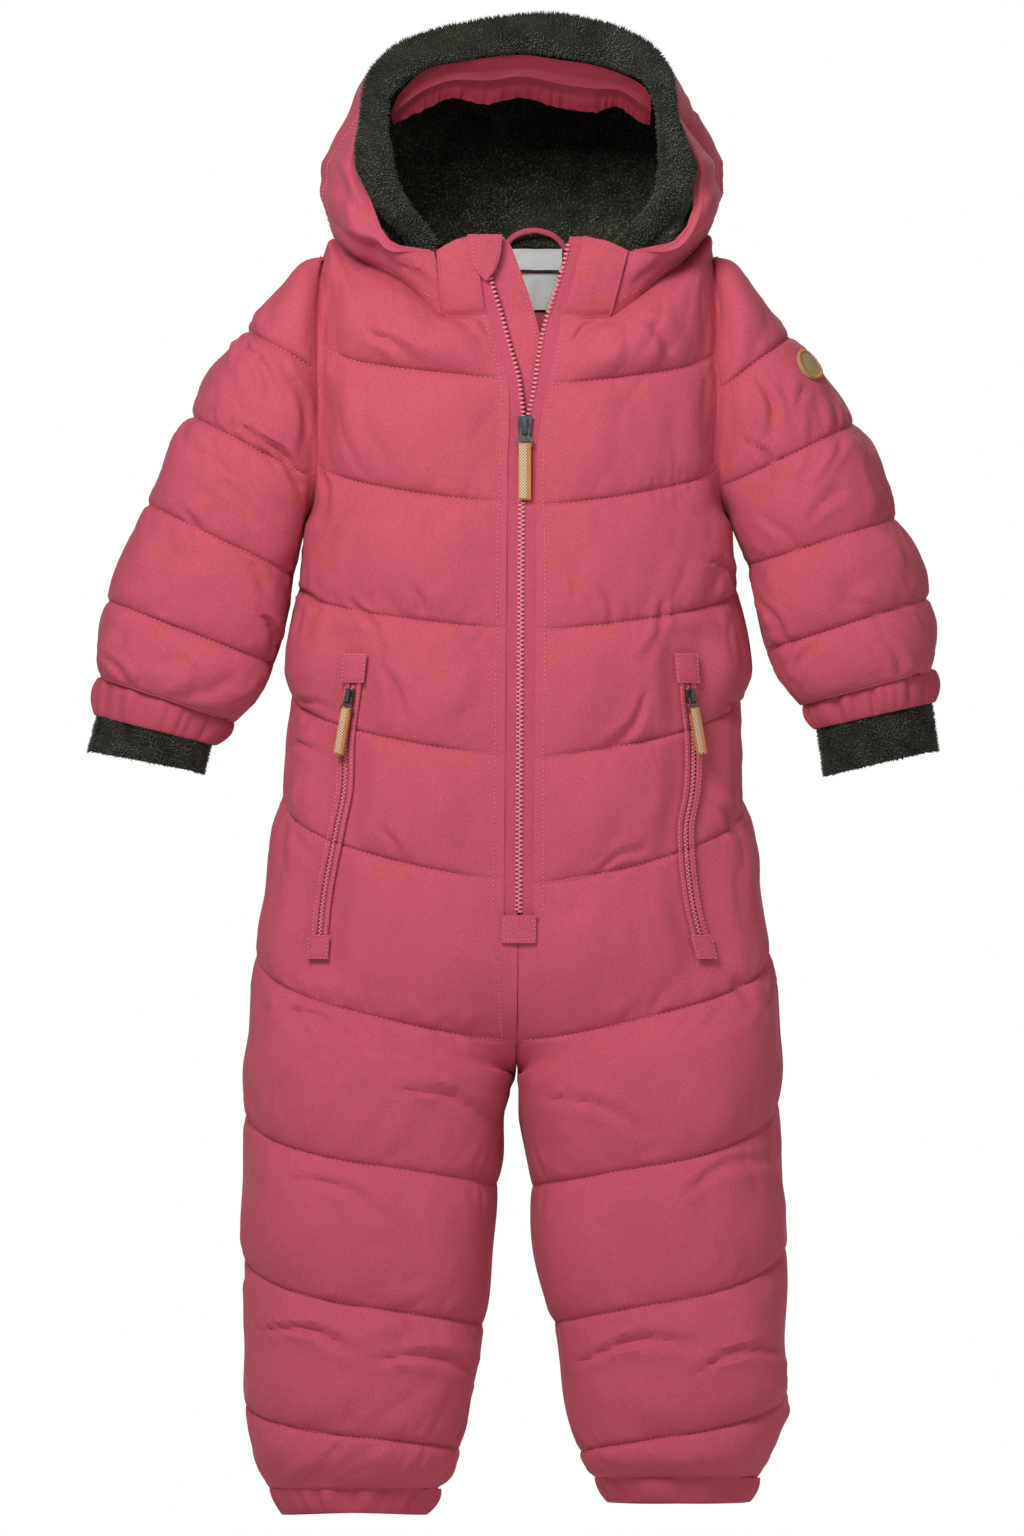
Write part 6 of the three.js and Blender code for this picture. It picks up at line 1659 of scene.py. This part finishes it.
# Hanger loop and bare labels at the back neck
LOOP_ARCH = np.array([[505, 247], [511, 238], [521, 232], [537, 230], [551, 234], [560, 241], [565, 249]],
                     float)
LOOP_WIDTH = 3.4
key = np.linspace(0, 6, 60)
arch = stack(column_x(np.interp(key, range(7), LOOP_ARCH[:, 0])), 0 * key,
             row_z(np.interp(key, range(7), LOOP_ARCH[:, 1])))
for _ in range(12):
    arch[1:-1] = (arch[:-2] + 2 * arch[1:-1] + arch[2:]) / 4
arch[:, 1] = 50 - 2 * np.sin(key / 6 * math.pi)
along = unit(np.gradient(arch, axis=0))
across = stack(-along[:, 2], 0 * key, along[:, 0])
t = np.linspace(-1, 1, 9)
half = LOOP_WIDTH / 2 * (1 + 0.12 * noise(key * 1.4, 0 * key, 620))
front = arch[:, None] + across[:, None] * (half[:, None] * t)[..., None]
front[..., 1] += 0.5 * np.abs(t) ** 3 + 0.35 * noise(key[:, None] * 1.1, t[None] * 1.2, 621)
back = arch[:, None] + across[:, None] * (half[:, None] * t)[..., None]
back[..., 1] += 1.4
pad("hanging_loop", front, back, "shell", "hanger_loop")


def label(name, left, right, top, foot, back_top, back_foot, seed, node):
    s, t = np.meshgrid(np.linspace(0, 1, 13), np.linspace(0, 1, 25), indexing="ij")
    x = column_x(mix(left, right, t))
    z = row_z(mix(top, foot, s)) + 0.5 * noise(t * 2.5, 0 * t, seed)
    y = mix(back_top, back_foot, s) - 0.5 * noise(t * 3, s * 2, seed + 1) - 0.4 * np.sin(math.pi * t)
    pad(name, stack(x, y, z), stack(x, y + 0.7, z), "label", node)


label("care_label", 512, 562, 249, 270, 52.4, 53, 630, "label_upper")
label("size_label", 521, 558, 273, 310, 54.2, 58.6, 634, "label_lower")
# A row of near-black stitches between the care and size labels: painted shadow of the gap between them.
x = np.linspace(column_x(513), column_x(561), 20)
places = stitch_items(stack(x, 52.2 + 0 * x, row_z(271.6) + 0 * x), FRONT, pitch=1.9)
row_piece("neck_painted_shadow_gap", stitch_tree, places, (2.6, 1.9, 1.2), "dark_thread", "shell_trim")

# Round bare badge with its stitched rim
per_line = np.linalg.norm(badge_place(PATCH_LINE + 0.02, PATCH_TURN)[0] - badge_middle) / 0.02
per_turn = np.linalg.norm(badge_place(PATCH_LINE, PATCH_TURN + 0.01)[0] - badge_middle) / 0.01


def badge_ring(radius, lift):
    turn = np.arange(72) / 72 * 2 * math.pi
    spot, _ = badge_place(PATCH_LINE + radius * np.cos(turn) / per_line,
                          PATCH_TURN + radius * np.sin(turn) / per_turn)
    return mix(spot, badge_middle, 0.15) + badge_out * lift


profile = [(12.4, 0.8), (12.5, 1.8), (12.3, 2.5), (11.6, 2.9), (10.6, 2.95), (9.8, 2.7), (6, 2.75), (2, 2.8)]
vertices, faces = loft(np.stack([badge_ring(radius, lift) for radius, lift in profile]))
add_mesh("round_badge", vertices, faces, looks["badge"], replaces=["patch"])
rim = np.concatenate([badge_ring(11.4, 3.1), badge_ring(11.4, 3.1)[:1]])
items = []
for place, way, normal in stitch_items(rim, badge_out, pitch=1.05, lift=0):
    items.append((place, np.cross(way, normal), normal))
row_piece("badge_rim", stitch_tree, items, (2.6, 1.1, 1.0), "badge_thread", "badge")

row_piece("quilt_stitches", stitch_tree, quilt, STITCH, "thread", "shell")
row_piece("edge_stitches", stitch_tree, edges, STITCH, "thread", "shell")


# Pull tabs: leather edge is the CAD tab, with a strip of webbing on it
def hardware_frame(point, out, tilt, half, lean):
    turn = Matrix.Rotation(math.atan2(out[0], -out[1]), 4, "Z") @ Matrix.Rotation(tilt, 4, "Y")
    hang = Matrix.Translation((0, -2.95, -half + 3.4)) @ Matrix.Rotation(-lean, 4, "X")
    return Matrix.Translation(tuple(point)) @ turn @ hang


def webbing(name, frame_matrix, width, foot, tab_length, body):
    """Webbing sewn to the front of a pull tab, with stitches along its edge."""
    top, low = foot + 1.6, foot + 2.6 - tab_length + 1.0
    left, right = -width / 2 + 0.5, width / 2 - 0.32 * width
    t, s = np.meshgrid(np.linspace(0, 1, 9), np.linspace(0, 1, 40), indexing="xy")
    x, z = mix(left, right, t), mix(top, low, s)
    swell = 0.28 * soft(0, 0.15, t) * soft(1, 0.85, t)
    front, back = stack(x, -1.38 - swell, z), stack(x, -1.2 + 0 * x, z)
    turned = np.array(frame_matrix)

    def place(points):
        return points @ turned[:3, :3].T + turned[:3, 3]

    vertices, faces = wall(place(front), place(back), 1)
    add_mesh(f"{name}_webbing", vertices, faces, looks["pull_web"], body=body)
    line = np.linspace(top, low, 20)
    items = stitch_items(stack(width / 2 - 1.3 + 0 * line, -1.35 + 0 * line, line), FRONT, pitch=1.7, lift=0)
    items = [(place(a), turned[:3, :3] @ b, turned[:3, :3] @ c) for a, b, c in items]
    row_piece(f"{name}_stitches", stitch_tree, items, (1.2, 0.4, 0.4), "pull_web", "puller", body=body)


SLIDER_Z = -103
webbing("front_tab", hardware_frame((4.2, float(zip_front(SLIDER_Z)) - 1.9, SLIDER_Z), (0, -1, 0), 0, 6,
                                    0.062),
        7.8, -10.9, 36, "front_pull")
for side, side_name in sides.items():
    row = 696
    x = column_x(read(POCKETS, side_column(side), np.array([float(row)])))
    point, out = front_place(side, x, row_z(np.array([float(row)])))
    point, out = point[0], out[0]
    webbing(f"pocket_tab_{side_name}", hardware_frame(point + out * 3.6, out, 0.14 if side < 0 else -0.14,
                                                      4.5, 0.1),
            6.4, -8.9, 30, f"pocket_pull_{side_name}")

# Finishes of the solids that stay as they are
nodes = frame["nodes"]
for name, node in nodes.items():
    look = None
    if "slider" in name or "puller" in name:
        look = "metal"
    elif "tab" in name:
        look = "pull_edge"
    if look:
        node.data.materials.clear()
        node.data.materials.append(looks[look])


# Camera, light and floor
camera = bpy.data.cameras.new("camera")
camera.type = "ORTHO"
camera.ortho_scale = 0.9677
camera_object = bpy.data.objects.new("camera", camera)
camera_object.location = (-0.0038, -3, -0.3188)
camera_object.rotation_euler = (math.pi / 2, 0, 0)
scene.collection.objects.link(camera_object)
scene.camera = camera_object


def area_light(name, place, aim, size, power):
    light = bpy.data.lights.new(name, "AREA")
    light.shape = "SQUARE"
    light.size = size
    light.energy = power
    obj = bpy.data.objects.new(name, light)
    obj.location = place
    obj.rotation_euler = (Vector(aim) - Vector(place)).to_track_quat("-Z", "Y").to_euler()
    scene.collection.objects.link(obj)


area_light("key", (-0.5, -1.3, 0.7), (0, 0, -0.1), 0.6, 22.5)
area_light("fill", (1.2, -1.6, 0.3), (0, 0, -0.2), 1.2, 5)
area_light("back", (0.4, 2.2, 0.9), (0, 0, -0.3), 1.8, 22)
world = bpy.data.worlds.new("pale_studio")
world.use_nodes = True
scene.world = world
sky = Nodes(world.node_tree)
seen = sky.node("ShaderNodeLightPath").outputs["Is Camera Ray"]
room = world.node_tree.nodes["Background"]
room.inputs["Color"].default_value = (1, 1, 1, 1)
room.inputs["Strength"].default_value = 0.24
white = sky.node("ShaderNodeBackground", {"Color": (1, 1, 1, 1), "Strength": 1.0})
mixed = sky.node("ShaderNodeMixShader", {0: seen, 1: room.outputs["Background"],
                                         2: white.outputs["Background"]})
world.node_tree.links.new(mixed.outputs["Shader"], world.node_tree.nodes["World Output"].inputs["Surface"])
scene.view_settings.view_transform = "Standard"

floor_mesh = bpy.data.meshes.new("floor")
floor_mesh.from_pydata([(-4, -4, -0.806), (4, -4, -0.806), (4, 4, -0.806), (-4, 4, -0.806)], [],
                       [(0, 1, 2, 3)])
floor_mesh.materials.append(Shade("floor_paint", 0.9).color((0.82, 0.82, 0.82)).material)
floor = bpy.data.objects.new("floor", floor_mesh)
scene.collection.objects.link(floor)

# Seam allowances: a soft roll of cloth inside each seam
def rolls(paths, radius, count=6):
    vertices, faces = [], []
    for path in paths:
        keep = np.concatenate([[True], np.linalg.norm(np.diff(path, axis=0), axis=1) > 0.05])
        path = path[keep]
        if len(path) < 3:
            continue
        along = unit(np.gradient(path, axis=0))
        guess = np.where(np.abs(along[:, 1:2]) < 0.8, [[0, 1.0, 0]], [[1.0, 0, 0]])
        across = unit(np.cross(along, guess))
        other = np.cross(along, across)
        angle = np.arange(count) / count * 2 * math.pi
        ring = path[:, None] + radius * (across[:, None] * np.cos(angle)[:, None] + other[:, None]
                                         * np.sin(angle)[:, None])
        points, around = loft(ring)
        start = len(vertices)
        vertices.extend(points)
        faces.extend([tuple(start + index for index in face) for face in around])
    return vertices, faces


vertices, faces = rolls(seam_paths, 1.1)
add_mesh("seam_allowances", vertices, faces, looks["shell"])
vertices, faces = rolls(cleft_paths, 3.6, 10)
add_mesh("crotch_allowances", vertices, faces, looks["trim"])
